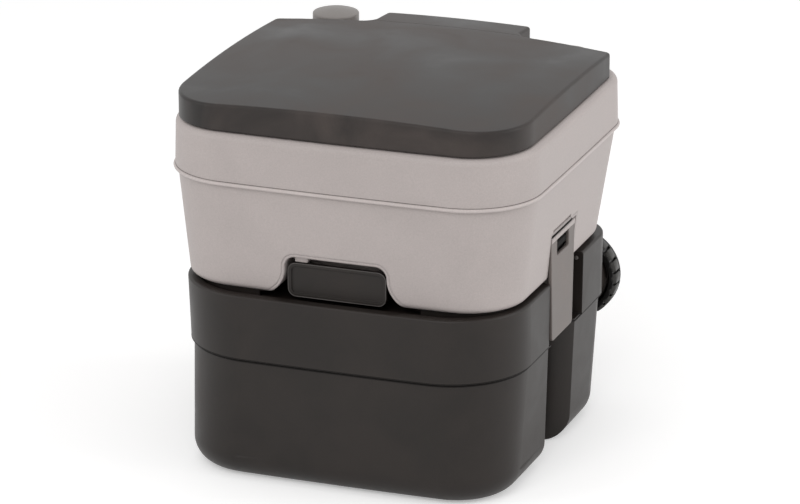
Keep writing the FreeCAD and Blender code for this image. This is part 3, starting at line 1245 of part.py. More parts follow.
def lid_tab_outline(z):
    """The lid's outline with the hinge tab at its back, joined by tangent concave arcs."""
    edges = bowed_edges(LID_HALF_WIDTH, LID_FRONT, LID_BACK, LID_CORNER_FRONT, LID_CORNER_BACK, LID_BOW_FRONT,
                        LID_BOW_SIDE, LID_BOW_BACK, z)
    back_edge = edges.pop()
    radius = bulge_circle(LID_HALF_WIDTH, LID_BOW_BACK)
    centre = V(0, LID_BACK - radius, z)
    corner = V(max(vertex.X for vertex in back_edge.Vertexes), back_edge.Vertexes[0].Y, z)
    half = TAB_HALF_WIDTH
    reach = radius + TAB_CONCAVE_RADIUS
    root = V(half + TAB_CONCAVE_RADIUS, centre.y + sqrt(reach ** 2 - (half + TAB_CONCAVE_RADIUS) ** 2), z)
    on_lid = towards(centre, radius, root)
    on_tab = V(half, root.y, z)
    round_centre = V(half - TAB_CORNER, TAB_BACK - TAB_CORNER, z)
    side_end = V(half, round_centre.y, z)
    back_end = V(round_centre.x, TAB_BACK, z)
    edges += [
        arc_through(centre, radius, corner, on_lid),
        arc_through(root, TAB_CONCAVE_RADIUS, on_lid, on_tab),
        Part.makeLine(on_tab, side_end),
        arc_through(round_centre, TAB_CORNER, side_end, back_end),
        Part.makeLine(back_end, mirrored(back_end)),
        arc_through(mirrored(round_centre), TAB_CORNER, mirrored(back_end), mirrored(side_end)),
        Part.makeLine(mirrored(side_end), mirrored(on_tab)),
        arc_through(mirrored(root), TAB_CONCAVE_RADIUS, mirrored(on_tab), mirrored(on_lid)),
        arc_through(centre, radius, mirrored(on_lid), mirrored(corner)),
    ]
    return Part.Wire(edges)


def lid_shell():
    """Skirted lid with a crowned top and the hinge tab, in one; it is then parted along the tab's root."""
    height = LID_APEX_Z - LID_BOTTOM_Z + WALL
    body = prism(lid_tab_outline(LID_BOTTOM_Z), height).common(crown_ball(0))
    top_edges = [edge for edge in body.Edges if edge.BoundBox.ZMin > SEAT_TOP_Z and not is_upright(edge)]
    body = body.makeFillet(LID_EDGE_ROUND, top_edges)
    cavity = prism(lid_outline(WALL, LID_BOTTOM_Z - WALL), height + WALL).common(crown_ball(WALL))
    plan = prism(lid_outline(0, LID_BOTTOM_Z), height)
    reach = TAB_HALF_WIDTH + 2 * TAB_CONCAVE_RADIUS
    under = box(-reach, reach, LID_BACK - BEYOND, TAB_BACK + WALL, LID_BOTTOM_Z - WALL, TAB_FLOOR_Z).cut(plan)
    barrel = cylinder(BARREL_RADIUS, V(-reach, HINGE_Y, HINGE_Z), V(reach, HINGE_Y, HINGE_Z))
    corner = box(-reach, reach, HINGE_Y, TAB_BACK + WALL, TAB_FLOOR_Z - WALL, HINGE_Z).cut(barrel)
    inner = SEAT_KNUCKLE_OUTER_X + KNUCKLE_GAP
    hinge_room = box(-inner, inner, LID_BACK - BEYOND, TAB_BACK + WALL, LID_BOTTOM_Z - WALL,
                     HINGE_Z + KNUCKLE_RADIUS + KNUCKLE_GAP)
    pin_end = TAB_HALF_WIDTH - PIN_END_COVER + FIT
    pin = cylinder(HINGE_PIN_RADIUS + HINGE_PIN_CLEARANCE, V(-pin_end, HINGE_Y, HINGE_Z),
                   V(pin_end, HINGE_Y, HINGE_Z))
    shell = body.cut(cavity)
    for space in (under, corner, hinge_room, pin):
        shell = shell.cut(space)
    return shell


def tab_root():
    """Block behind the line along which the hinge tab joins the lid."""
    reach = TAB_HALF_WIDTH + 2 * TAB_CONCAVE_RADIUS
    return box(-reach, reach, LID_BACK, TAB_BACK + WALL, LID_BOTTOM_Z - WALL, LID_APEX_Z + WALL)


def lid(shell):
    """The lid's tray-shaped part, stiffened by ribs under its top."""
    return fused([shell.cut(tab_root())] + lid_ribs())


def lid_hinge(shell):
    """Tab over the hinge, welded to the lid's back edge."""
    return shell.common(tab_root())


def lid_ribs():
    """Low stiffening ribs under the lid's top."""
    ribs = []
    half = LID_RIB_THICKNESS / 2
    for place in (-1.5, -0.5, 0.5, 1.5):
        x = place * LID_RIB_PITCH
        ribs.append(box(x - half, x + half, LID_RIB_FRONT - LID_FRONT, LID_BACK - LID_RIB_BACK, SEAT_TOP_Z,
                        LID_APEX_Z))
    roof = crown_ball(WALL * 0.5)
    floor = crown_ball(WALL + LID_RIB_DEPTH)
    solid = Part.makeCompound(ribs).common(roof).cut(floor)
    return [Part.makeSolid(shell) for shell in solid.Shells]


def lid_bumpers():
    """Rubber studs under the lid that stand on the seat."""
    studs = []
    roof = crown_ball(WALL)
    for x, y in bumper_places():
        stud = cylinder(BUMPER_RADIUS, V(x, y, SEAT_TOP_Z + BUMPER_GAP), V(x, y, LID_APEX_Z))
        studs.append(stud.common(roof))
    return Part.makeCompound(studs)


# ---------------------------------------------------------------- writing the nodes
def build():
    low_body = flush_low_body()
    lid_body = lid_shell()
    return {
        "waste_tank": waste_tank(),
        "waste_tank_top": waste_tank_top(),
        "spout_neck": spout_neck(),
        "spout_gasket": spout_gasket(),
        "spout_cap": spout_cap(),
        "valve_base": valve_base(),
        "valve_cover": valve_cover(),
        "valve_screws": valve_screws(),
        "lip_seal": lip_seal(),
        "valve_blade": valve_blade(),
        "valve_handle": valve_handle(),
        "latch_right": latch_right(),
        "latch_left": mirrored_x(latch_right()),
        "latch_bracket_right": latch_bracket_right(),
        "latch_bracket_left": mirrored_x(latch_bracket_right()),
        "latch_pin_right": latch_pin_right(),
        "latch_pin_left": mirrored_x(latch_pin_right()),
        "catch_right": catch_right(),
        "catch_left": mirrored_x(catch_right()),
        "flush_base": flush_base(),
        "flush_tank": flush_tank(low_body),
        "handle_recess": handle_recess(low_body),
        "latch_pocket_right": latch_pocket_right(low_body),
        "latch_pocket_left": mirrored_x(latch_pocket_right(low_body)),
        "flush_deck": flush_deck(),
        "hinge_lugs": hinge_lugs(),
        "pump_housing": pump_housing(),
        "filler_neck": filler_neck(),
        "hinge_pins": hinge_pins(),
        "bowl": bowl(),
        "flush_nozzle": flush_nozzle(),
        "pump_intake": pump_intake(),
        "flush_pipe": flush_pipe(),
        "pump_collar": pump_collar(),
        "pump_bellows": pump_bellows(),
        "pump_knob": pump_knob(),
        "filler_gasket": filler_gasket(),
        "filler_cap": filler_cap(),
        "seat": seat(),
        "seat_bumpers": seat_bumpers(),
        "lid": lid(lid_body),
        "lid_hinge": lid_hinge(lid_body),
        "lid_bumpers": lid_bumpers(),
    }


os.makedirs("parts", exist_ok=True)
for node, shape in build().items():
    shape.exportStep("parts/" + node + ".step")
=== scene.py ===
"""Looks of the portable camp toilet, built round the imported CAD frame. Metres; +Z up, -Y front."""
import json
import math

import bmesh
import bpy
from mathutils import Matrix, Vector


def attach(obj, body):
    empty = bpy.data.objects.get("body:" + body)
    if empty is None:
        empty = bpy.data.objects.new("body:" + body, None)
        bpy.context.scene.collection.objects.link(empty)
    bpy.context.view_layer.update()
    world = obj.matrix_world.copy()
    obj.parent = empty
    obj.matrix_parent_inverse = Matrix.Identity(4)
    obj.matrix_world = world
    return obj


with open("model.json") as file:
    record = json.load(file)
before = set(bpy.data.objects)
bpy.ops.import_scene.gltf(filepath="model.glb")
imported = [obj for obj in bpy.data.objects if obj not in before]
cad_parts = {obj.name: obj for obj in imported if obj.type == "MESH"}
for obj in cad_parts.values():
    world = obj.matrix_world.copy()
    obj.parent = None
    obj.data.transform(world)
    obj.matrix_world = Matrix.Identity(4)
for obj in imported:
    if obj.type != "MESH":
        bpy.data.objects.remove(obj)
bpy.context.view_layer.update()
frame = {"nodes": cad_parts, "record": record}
NODES = frame["nodes"]

# ---------------------------------------------------------------- camera
VIEW_AZIMUTH = math.radians(20.5)
VIEW_ELEVATION = math.radians(19.1)
VIEW_ROLL = math.radians(-0.1)
VIEW_DISTANCE = 4.848
VIEW_TARGET = Vector((0.0, 0.0, 0.2037))
VIEW_SIDEWAYS = 0.0045
VIEW_UPWARDS = 0.0025
LENS_MM = 204.2
SENSOR_MM = 36.0
FAR_CLIP = 50.0


def add_camera():
    data = bpy.data.cameras.new("camera")
    data.sensor_width = SENSOR_MM
    data.lens = LENS_MM
    data.clip_end = FAR_CLIP
    right = Vector((math.cos(VIEW_AZIMUTH), math.sin(VIEW_AZIMUTH), 0.0))
    back = Vector((math.sin(VIEW_AZIMUTH) * math.cos(VIEW_ELEVATION),
                   -math.cos(VIEW_AZIMUTH) * math.cos(VIEW_ELEVATION), math.sin(VIEW_ELEVATION)))
    up = back.cross(right)
    camera = bpy.data.objects.new("camera", data)
    axes = Matrix((right, up, back)).transposed().to_4x4()
    place = VIEW_TARGET + back * VIEW_DISTANCE + right * VIEW_SIDEWAYS + up * VIEW_UPWARDS
    camera.matrix_world = Matrix.Translation(place) @ axes @ Matrix.Rotation(VIEW_ROLL, 4, "Z")
    bpy.context.scene.collection.objects.link(camera)
    bpy.context.scene.camera = camera


# ---------------------------------------------------------------- light, floor and backdrop
LIGHT_TARGET = (0.0, 0.0, 0.2)
# name, place, size, power
AREA_LIGHTS = (("key", (0.2, -2.6, 2.4), (2.2, 1.6), 28.0),
               ("side", (2.9, 0.4, 1.4), (1.8, 1.8), 29.0),
               ("left", (-2.4, -1.6, 1.3), (1.6, 1.6), 13.0))
BACKDROP_WHITE = (1.0, 1.0, 1.0, 1.0)
FILL_COLOUR = (1.0, 0.995, 0.99, 1.0)
FILL_STRENGTH = 0.62
FLOOR_HALF = 30.0
FLOOR_Z = -0.0003
FLOOR_COLOUR = (0.88, 0.88, 0.88, 1.0)
FLOOR_LIFT = 0.34                   # what the floor adds for the camera and in reflections


def add_area_light(name, place, size, power):
    data = bpy.data.lights.new(name, "AREA")
    data.shape = "RECTANGLE"
    data.size = size[0]
    data.size_y = size[1]
    data.energy = power
    light = bpy.data.objects.new(name, data)
    light.location = place
    light.rotation_euler = (Vector(LIGHT_TARGET) - Vector(place)).to_track_quat("-Z", "Y").to_euler()
    bpy.context.scene.collection.objects.link(light)


def add_world():
    """A soft fill, with a white backdrop for the camera, in reflections and through clear parts."""
    world = bpy.data.worlds.new("studio")
    world.use_nodes = True
    nodes = world.node_tree.nodes
    links = world.node_tree.links
    nodes.clear()
    output = nodes.new("ShaderNodeOutputWorld")
    seen = nodes.new("ShaderNodeBackground")
    seen.inputs["Color"].default_value = BACKDROP_WHITE
    fill = nodes.new("ShaderNodeBackground")
    fill.inputs["Color"].default_value = FILL_COLOUR
    fill.inputs["Strength"].default_value = FILL_STRENGTH
    path = nodes.new("ShaderNodeLightPath")
    camera_or_gloss = nodes.new("ShaderNodeMath")
    camera_or_gloss.operation = "MAXIMUM"
    backdrop_ray = nodes.new("ShaderNodeMath")
    backdrop_ray.operation = "MAXIMUM"
    links.new(path.outputs["Is Camera Ray"], camera_or_gloss.inputs[0])
    links.new(path.outputs["Is Glossy Ray"], camera_or_gloss.inputs[1])
    links.new(camera_or_gloss.outputs[0], backdrop_ray.inputs[0])
    links.new(path.outputs["Is Transmission Ray"], backdrop_ray.inputs[1])
    mix = nodes.new("ShaderNodeMixShader")
    links.new(backdrop_ray.outputs[0], mix.inputs["Fac"])
    links.new(fill.outputs[0], mix.inputs[1])
    links.new(seen.outputs[0], mix.inputs[2])
    links.new(mix.outputs[0], output.inputs["Surface"])
    bpy.context.scene.world = world


def add_floor():
    """A pale floor that keeps the shadow, and looks white to the camera and in reflections."""
    mesh = bpy.data.meshes.new("floor")
    half = FLOOR_HALF
    corners = [(-half, -half, 0), (half, -half, 0), (half, half, 0), (-half, half, 0)]
    mesh.from_pydata(corners, [], [(0, 1, 2, 3)])
    floor = bpy.data.objects.new("floor", mesh)
    floor.location.z = FLOOR_Z
    bpy.context.scene.collection.objects.link(floor)
    material = bpy.data.materials.new("floor_white")
    material.use_nodes = True
    nodes = material.node_tree.nodes
    links = material.node_tree.links
    nodes.clear()
    output = nodes.new("ShaderNodeOutputMaterial")
    diffuse = nodes.new("ShaderNodeBsdfDiffuse")
    diffuse.inputs["Color"].default_value = FLOOR_COLOUR
    lift = nodes.new("ShaderNodeEmission")
    path = nodes.new("ShaderNodeLightPath")
    gain = nodes.new("ShaderNodeMath")
    gain.operation = "MULTIPLY"
    gain.inputs[1].default_value = FLOOR_LIFT
    seen = nodes.new("ShaderNodeMath")
    seen.operation = "MAXIMUM"
    links.new(path.outputs["Is Camera Ray"], seen.inputs[0])
    links.new(path.outputs["Is Glossy Ray"], seen.inputs[1])
    links.new(seen.outputs[0], gain.inputs[0])
    links.new(gain.outputs[0], lift.inputs["Strength"])
    total = nodes.new("ShaderNodeAddShader")
    links.new(diffuse.outputs[0], total.inputs[0])
    links.new(lift.outputs[0], total.inputs[1])
    links.new(total.outputs[0], output.inputs["Surface"])
    mesh.materials.append(material)


# ---------------------------------------------------------------- materials
def new_material(name, base, roughness, specular):
    material = bpy.data.materials.new(name)
    material.use_nodes = True
    shader = material.node_tree.nodes["Principled BSDF"]
    shader.inputs["Base Color"].default_value = (*base, 1.0)
    shader.inputs["Roughness"].default_value = roughness
    shader.inputs["Specular IOR Level"].default_value = specular
    return material, material.node_tree.nodes, material.node_tree.links, shader


CLOUD_DISTORTION = 0.5
CLOUD_DETAIL = 6.0
CLOUD_SPAN = (0.36, 0.64)           # noise values between which the tint runs from dark to pale
NOISE_SPAN = (0.3, 0.7)             # noise values between which gloss and speckle run
SPECKLE_SCALE = 620.0
SPECKLE_DETAIL = 3.0
GRAIN_SCALE = 1400.0
GRAIN_DETAIL = 2.0
GRAIN_DEPTH = 0.00004
WAVE_SCALE = 18.0
WAVE_DETAIL = 1.0
WAVE_DEPTH = 0.0002
EDGE_SAMPLES = 4
FINE_EDGE = 0.0004                  # softened edge of small trim
BROAD_EDGE = 0.003                  # softened edge of the big mouldings


def noise(nodes, links, place, scale, detail):
    texture = nodes.new("ShaderNodeTexNoise")
    texture.inputs["Scale"].default_value = scale
    texture.inputs["Detail"].default_value = detail
    links.new(place.outputs["Object"], texture.inputs["Vector"])
    return texture


def spread(nodes, links, texture, middle, reach):
    """Maps a noise to values from middle - reach to middle + reach."""
    mapped = nodes.new("ShaderNodeMapRange")
    mapped.inputs["From Min"].default_value = NOISE_SPAN[0]
    mapped.inputs["From Max"].default_value = NOISE_SPAN[1]
    mapped.inputs["To Min"].default_value = middle - reach
    mapped.inputs["To Max"].default_value = middle + reach
    links.new(texture.outputs["Fac"], mapped.inputs["Value"])
    return mapped


def bump(nodes, links, texture, depth, below):
    """A bump of a noise on top of the normal that another node gives."""
    raised = nodes.new("ShaderNodeBump")
    raised.inputs["Strength"].default_value = 1.0
    raised.inputs["Distance"].default_value = depth
    links.new(texture.outputs["Fac"], raised.inputs["Height"])
    links.new(below.outputs["Normal"], raised.inputs["Normal"])
    return raised


def moulded_plastic(name, base, roughness, mottle=0.12, specular=0.35, cloud_scale=14.0, speckle=0.05,
                    edge=0.0012, haze=0.06):
    """Moulded plastic: slow drift of colour and gloss, speckle, grain, slight waves and softened edges."""
    material, nodes, links, shader = new_material(name, base, roughness, specular)
    place = nodes.new("ShaderNodeTexCoord")
    clouds = noise(nodes, links, place, cloud_scale, CLOUD_DETAIL)
    clouds.inputs["Distortion"].default_value = CLOUD_DISTORTION
    tint = nodes.new("ShaderNodeValToRGB")
    for element, position, share in zip(tint.color_ramp.elements, CLOUD_SPAN, (1.0 - mottle, 1.0 + mottle)):
        element.position = position
        element.color = (*[channel * share for channel in base], 1.0)
    links.new(clouds.outputs["Fac"], tint.inputs["Fac"])
    dots = noise(nodes, links, place, SPECKLE_SCALE, SPECKLE_DETAIL)
    dot_level = spread(nodes, links, dots, 1.0, speckle)
    speckled = nodes.new("ShaderNodeMix")
    speckled.data_type = "RGBA"
    speckled.blend_type = "MULTIPLY"
    speckled.inputs["Factor"].default_value = 1.0
    links.new(tint.outputs["Color"], speckled.inputs["A"])
    links.new(dot_level.outputs["Result"], speckled.inputs["B"])
    links.new(speckled.outputs["Result"], shader.inputs["Base Color"])
    gloss = spread(nodes, links, clouds, roughness, haze)
    links.new(gloss.outputs["Result"], shader.inputs["Roughness"])
    soft_edge = nodes.new("ShaderNodeBevel")
    soft_edge.samples = EDGE_SAMPLES
    soft_edge.inputs["Radius"].default_value = edge
    waves = bump(nodes, links, noise(nodes, links, place, WAVE_SCALE, WAVE_DETAIL), WAVE_DEPTH, soft_edge)
    grain = bump(nodes, links, noise(nodes, links, place, GRAIN_SCALE, GRAIN_DETAIL), GRAIN_DEPTH, waves)
    links.new(grain.outputs["Normal"], shader.inputs["Normal"])
    return material


DARK = (0.0185, 0.0145, 0.0125)
LID = (0.030, 0.0235, 0.021)
LIGHT = (0.435, 0.388, 0.375)
LATCH = (0.15, 0.128, 0.118)
KNOB = (0.23, 0.212, 0.2)
BLACK = (0.009, 0.0085, 0.008)
RUBBER = (0.02, 0.02, 0.02)
# SHADE is a near-black for painted shade: the catches, the block over each latch and the sheet behind each
# window
SHADE = (0.006, 0.005, 0.0045)
# SEAM_SHADE: dark lines at the waste tank's seam, painted shadow under the overhang
SEAM_SHADE = (0.0085, 0.007, 0.0062)
# RIDGE_SHADE: the fine line above the ridge bead, painted shadow
RIDGE_SHADE = (0.20, 0.18, 0.172)
# the ridge bead's colour, paler than the wall as a painted highlight
RIDGE_HIGHLIGHT = (0.52, 0.465, 0.45)
HANDLE_EDGE_HIGHLIGHT = (0.075, 0.068, 0.064)
CAP_LAND_HIGHLIGHT = (0.034, 0.032, 0.029)
STUD = (0.11, 0.10, 0.094)


def dress_nodes():
    """Gives each CAD node the finish of its material slot, apart from a few nodes with their own."""
    dark = moulded_plastic("dark_plastic", DARK, roughness=0.44, specular=0.28, mottle=0.16)
    lid = moulded_plastic("lid_plastic", LID, roughness=0.46, specular=0.30, mottle=0.6, cloud_scale=11.0,
                          edge=BROAD_EDGE, haze=0.1)
    latch = moulded_plastic("latch_plastic", LATCH, roughness=0.45)
    light = moulded_plastic("light_plastic", LIGHT, roughness=0.48, mottle=0.025, edge=BROAD_EDGE)
    knob = moulded_plastic("knob_plastic", KNOB, roughness=0.4, mottle=0.04)
    black = moulded_plastic("black_plastic", BLACK, roughness=0.38)
    rubber = moulded_plastic("rubber", RUBBER, roughness=0.6)
    shade = moulded_plastic("shade_line", SHADE, roughness=0.7, specular=0.1, edge=FINE_EDGE)
    finishes = {"dark_body": dark, "light_body": light, "lid_brown": lid, "handle_dark": dark,
                "cap_black": black, "rubber_black": rubber, "rubber_grey": rubber, "blade_grey": knob,
                "clear_grey": knob, "screw_steel": knob, "shade": shade}
    # the catches take the near-black shade finish as painted shade, so the latch windows read dark
    own = {"pump_knob": knob, "latch_left": latch, "latch_right": latch, "catch_left": shade,
           "catch_right": shade}
    # flush_base's dark_body slot darkens the plinth under the flush tank: painted shade in the gap under it
    slots = {part["node"]: part["material_slot"] for part in frame["record"]["subparts"]}
    for name, node in NODES.items():
        node.data.materials.clear()
        node.data.materials.append(own.get(name, finishes[slots[name]]))
    return finishes


# ---------------------------------------------------------------- outlines taken from the frame
NEAR_ENOUGH = 0.0004                # segments this close follow each other
LEAST_SEGMENT = 1e-7                # shorter crossings are dropped
LEAST_STEP = 0.0006
MITRE_LIMIT = 0.4


def crossings(name, height):
    """The segments in which the node's faces cross a height, as pairs of (x, y)."""
    mesh = NODES[name].data
    segments = []
    for polygon in mesh.polygons:
        corners = [mesh.vertices[k].co for k in polygon.vertices]
        crossing = []
        for a, b in zip(corners, corners[1:] + corners[:1]):
            if (a.z - height) * (b.z - height) < 0:
                share = (height - a.z) / (b.z - a.z)
                crossing.append((a.x + share * (b.x - a.x), a.y + share * (b.y - a.y)))
        if len(crossing) == 2 and math.dist(*crossing) > LEAST_SEGMENT:
            segments.append(crossing)
    return segments


def outlines_at(name, height):
    """The node's outlines at a height, each a closed anticlockwise list of (x, y), the longest first."""
    segments = crossings(name, height)
    loops = []
    while segments:
        loop = list(segments.pop())
        while segments:
            gap, best = min((min(math.dist(loop[-1], ends[0]), math.dist(loop[-1], ends[1])), k)
                            for k, ends in enumerate(segments))
            if gap > NEAR_ENOUGH or math.dist(loop[-1], loop[0]) < gap:
                break
            ends = segments.pop(best)
            if math.dist(loop[-1], ends[0]) > math.dist(loop[-1], ends[1]):
                ends.reverse()
            loop.append(ends[1])
        loops.append(loop)
    loops.sort(key=around, reverse=True)
    for loop in loops:
        if signed_area(loop) < 0:
            loop.reverse()
    return [thinned(loop) for loop in loops]


def around(loop):
    return sum(math.dist(a, b) for a, b in zip(loop, loop[1:]))


def signed_area(loop):
    return sum(a[0] * b[1] - b[0] * a[1] for a, b in zip(loop, loop[1:] + loop[:1])) / 2


def thinned(loop):
    """The loop without points that lie closer than the least step."""
    kept = [loop[0]]
    for point in loop[1:]:
        if math.dist(point, kept[-1]) > LEAST_STEP:
            kept.append(point)
    if math.dist(kept[0], kept[-1]) < LEAST_STEP:
        kept.pop()
    return kept


def outward(loop):
    """A mitred outward step for each point of a loop that runs anticlockwise."""
    steps = []
    for before, here, after in zip(loop[-1:] + loop[:-1], loop, loop[1:] + loop[:1]):
        first = Vector((here[1] - before[1], before[0] - here[0])).normalized()
        second = Vector((after[1] - here[1], here[0] - after[0])).normalized()
        middle = (first + second).normalized()
        steps.append(middle / max(MITRE_LIMIT, middle.dot(first)))
    return steps


# ---------------------------------------------------------------- ways to build a piece
BEAD_STEPS = 7
BEAD_ROOT = 0.0015                  # how far a bead reaches into the wall behind it
CORNER_STEPS = 6
TUBE_SIDES = 8
TUBE_ASKEW = Vector((0.31, 0.17, 0.93))   # any direction that no tube runs along
BLOCK_EDGE_STEPS = 3


def link_piece(name, mesh, material, body):
    for polygon in mesh.polygons:
        polygon.use_smooth = True
    piece = bpy.data.objects.new(name, mesh)
    bpy.context.scene.collection.objects.link(piece)
    mesh.materials.append(material)
    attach(piece, body)


def add_piece(name, points, faces, material, body):
    mesh = bpy.data.meshes.new(name)
    mesh.from_pydata(points, [], faces)
    mesh.validate()
    made = bmesh.new()
    made.from_mesh(mesh)
    bmesh.ops.recalc_face_normals(made, faces=made.faces)
    made.to_mesh(mesh)
    made.free()
    link_piece(name, mesh, material, body)


def ring_round(name, loop, profile, material, body):
    """A closed profile of (outward, height) points carried round a loop."""
    points = []
    for place, step in zip(loop, outward(loop)):
        for out, height in profile:
            points.append((place[0] + step.x * out, place[1] + step.y * out, height))
    count = len(profile)
    faces = []
    for i in range(len(loop)):
        following = (i + 1) % len(loop)
        for j in range(count):
            above = (j + 1) % count
            faces.append((i * count + j, following * count + j, following * count + above, i * count + above))
    add_piece(name, points, faces, material, body)


def bead(height, half_height, out):
    """A half-round bead's profile, closed at the back inside the wall."""
    profile = []
    for i in range(BEAD_STEPS):
        turn = math.pi * (i / (BEAD_STEPS - 1) - 0.5)
        profile.append((out * math.cos(turn), height + half_height * math.sin(turn)))
    return profile + [(-BEAD_ROOT, height + half_height), (-BEAD_ROOT, height - half_height)]


def rounded_loop(half_width, low, high, corner):
    """A rounded rectangle of (across, height) points, anticlockwise."""
    loop = []
    centres = ((half_width - corner, low + corner, -90), (half_width - corner, high - corner, 0),
               (corner - half_width, high - corner, 90), (corner - half_width, low + corner, 180))
    for across, height, start in centres:
        for i in range(CORNER_STEPS + 1):
            turn = math.radians(start + 90 * i / CORNER_STEPS)
            loop.append((across + corner * math.cos(turn), height + corner * math.sin(turn)))
    return loop


def softened_block(name, low, high, edge, material, body, slot):
    """A block with all its edges rounded."""
    made = bmesh.new()
    bmesh.ops.create_cube(made, size=1.0)
    for vertex in made.verts:
        vertex.co = [(low[k] + high[k]) / 2 + vertex.co[k] * (high[k] - low[k]) for k in range(3)]
    bmesh.ops.bevel(made, geom=made.edges[:], offset=edge, segments=BLOCK_EDGE_STEPS, profile=0.5,
                    affect="EDGES")
    mesh = bpy.data.meshes.new(name)
    made.to_mesh(mesh)
    made.free()
    link_piece(name, mesh, material, body)


def band_faces(rows, sides):
    """The faces between rings of points that follow each other."""
    faces = []
    for i in range(rows - 1):
        for k in range(sides):
            nearby = (k + 1) % sides
            faces.append((i * sides + k, i * sides + nearby, (i + 1) * sides + nearby, (i + 1) * sides + k))
    return faces


def tube(name, centres, radius, material, body):
    """A round bead along a path, with closed ends."""
    points = []
    last = len(centres) - 1
    for i, centre in enumerate(centres):
        ahead = (centres[min(i + 1, last)] - centres[max(i - 1, 0)]).normalized()
        side = ahead.cross(TUBE_ASKEW).normalized()
        top = side.cross(ahead)
        for k in range(TUBE_SIDES):
            turn = 2 * math.pi * k / TUBE_SIDES
            points.append(tuple(centre + radius * (math.cos(turn) * side + math.sin(turn) * top)))
    faces = band_faces(len(centres), TUBE_SIDES)
    faces.append(tuple(range(TUBE_SIDES)))
    faces.append(tuple(range(last * TUBE_SIDES, len(centres) * TUBE_SIDES)))
    add_piece(name, points, faces, material, body)


# ---------------------------------------------------------------- lines round the mouldings
RIDGE_Z = 0.3270
RIDGE_BEAD_SLICE = 0.0006           # above the ridge, where the bead's outline is taken
RIDGE_BEAD_DROP = 0.0004            # below the ridge, the bead's middle
RIDGE_BEAD_HALF = 0.0020
RIDGE_BEAD_OUT = 0.0019
RIDGE_LINE_SLICE = 0.0022           # above the ridge, where the line's outline is taken
RIDGE_LINE_RISE = 0.0020            # above the ridge, the line's middle
RIDGE_LINE_HALF = 0.0004
RIDGE_LINE_OUT = 0.00025
SEAM_Z = 0.1360
SEAM_LINE_SLICE = 0.0030            # below the seam, where the line's outlines are taken
SEAM_LINE_DROP = 0.0024             # below the seam, the line's middle
SEAM_LINE_HALF = 0.0010
SEAM_LINE_OUT = 0.0008
SEAM_EDGE_SLICE = 0.0012            # above the seam, where the edge's outline is taken
SEAM_EDGE_RISE = 0.0007             # above the seam, the edge's middle
SEAM_EDGE_HALF = 0.0006
SEAM_EDGE_OUT = 0.0002


def add_lines():
    """The ridge bead, pale as a painted highlight, a grey line over it and dark seam lines as painted shadow.
    """
    ridge_shadow = moulded_plastic("shade_grey", RIDGE_SHADE, roughness=0.6, specular=0.1, edge=FINE_EDGE)
    # the bead's paler colour is a painted highlight
    pale = moulded_plastic("painted_ridge_highlight", RIDGE_HIGHLIGHT, roughness=0.42, mottle=0.02, edge=FINE_EDGE)
    # dark lines under and on the seam's overhang: painted shadow
    seam = moulded_plastic("seam_shade", SEAM_SHADE, roughness=0.6, specular=0.15, edge=FINE_EDGE)
    ring_round("ridge_bead", outlines_at("flush_deck", RIDGE_Z + RIDGE_BEAD_SLICE)[0],
               bead(RIDGE_Z - RIDGE_BEAD_DROP, RIDGE_BEAD_HALF, RIDGE_BEAD_OUT), pale, "flush_unit")
    ring_round("ridge_shadow_line", outlines_at("flush_deck", RIDGE_Z + RIDGE_LINE_SLICE)[0],
               bead(RIDGE_Z + RIDGE_LINE_RISE, RIDGE_LINE_HALF, RIDGE_LINE_OUT), ridge_shadow, "flush_unit")
    for i, low in enumerate(outlines_at("waste_tank", SEAM_Z - SEAM_LINE_SLICE)):
        ring_round("seam_line_%d" % i, low, bead(SEAM_Z - SEAM_LINE_DROP, SEAM_LINE_HALF, SEAM_LINE_OUT),
                   seam, "waste_tank")
    ring_round("seam_shadow_edge_0", outlines_at("waste_tank_top", SEAM_Z + SEAM_EDGE_SLICE)[0],
               bead(SEAM_Z + SEAM_EDGE_RISE, SEAM_EDGE_HALF, SEAM_EDGE_OUT), seam, "waste_tank")


# ---------------------------------------------------------------- handle and latches
HANDLE_HALF_WIDTH = 0.0541          # middle of the bead on the border of the handle's plate
HANDLE_LOW = 0.2089
HANDLE_HIGH = 0.2451
HANDLE_CORNER = 0.0088
HANDLE_FACE_Y = -0.17365
HANDLE_BEAD = 0.0005
STOP_BLOCK = ((-0.0470, -0.1730, 0.2463), (-0.0325, -0.1600, 0.2566))
STOP_EDGE = 0.0012
# on the right side: x from and to, y from and to, z from and to, rounding
# dark block in the gap over the latch: painted shadow
SHADOW_SLOT_BLOCK = ((0.1826, 0.1914), (-0.0460, 0.0200), (0.2585, 0.2611), 0.0004)
# dark sheet behind the latch's window: painted shade
WINDOW_BLOCK = ((0.1826, 0.1833), (-0.0300, 0.0180), (0.2300, 0.2560), 0.0002)
# light bar on the latch's arm: painted highlight where its top catches the light
HIGHLIGHT_BAR_BLOCK = ((0.1885, 0.1907), (-0.0440, 0.0320), (0.2514, 0.2573), 0.0008)


def add_handle_trim(finishes):
    """The bead on the border of the handle's plate, lighter as a painted highlight, and the small stop tab
    above it.
    """
    trim = moulded_plastic("painted_handle_edge_highlight", HANDLE_EDGE_HIGHLIGHT, roughness=0.35, specular=0.5, edge=FINE_EDGE)
    loop = rounded_loop(HANDLE_HALF_WIDTH, HANDLE_LOW, HANDLE_HIGH, HANDLE_CORNER)
    path = [Vector((x, HANDLE_FACE_Y, z)) for x, z in loop]
    tube("handle_edge", path + path[:1], HANDLE_BEAD, trim, "valve_slide")
    softened_block("recess_stop", *STOP_BLOCK, STOP_EDGE, finishes["light_body"], "flush_unit", "light_body")


def side_block(name, side, block, material, body, slot):
    """A softened block given for the right side, on the side asked for."""
    across, along, height, edge = block
    ends = sorted(side * x for x in across)
    softened_block(name, (ends[0], along[0], height[0]), (ends[1], along[1], height[1]), edge, material,
                   body, slot)


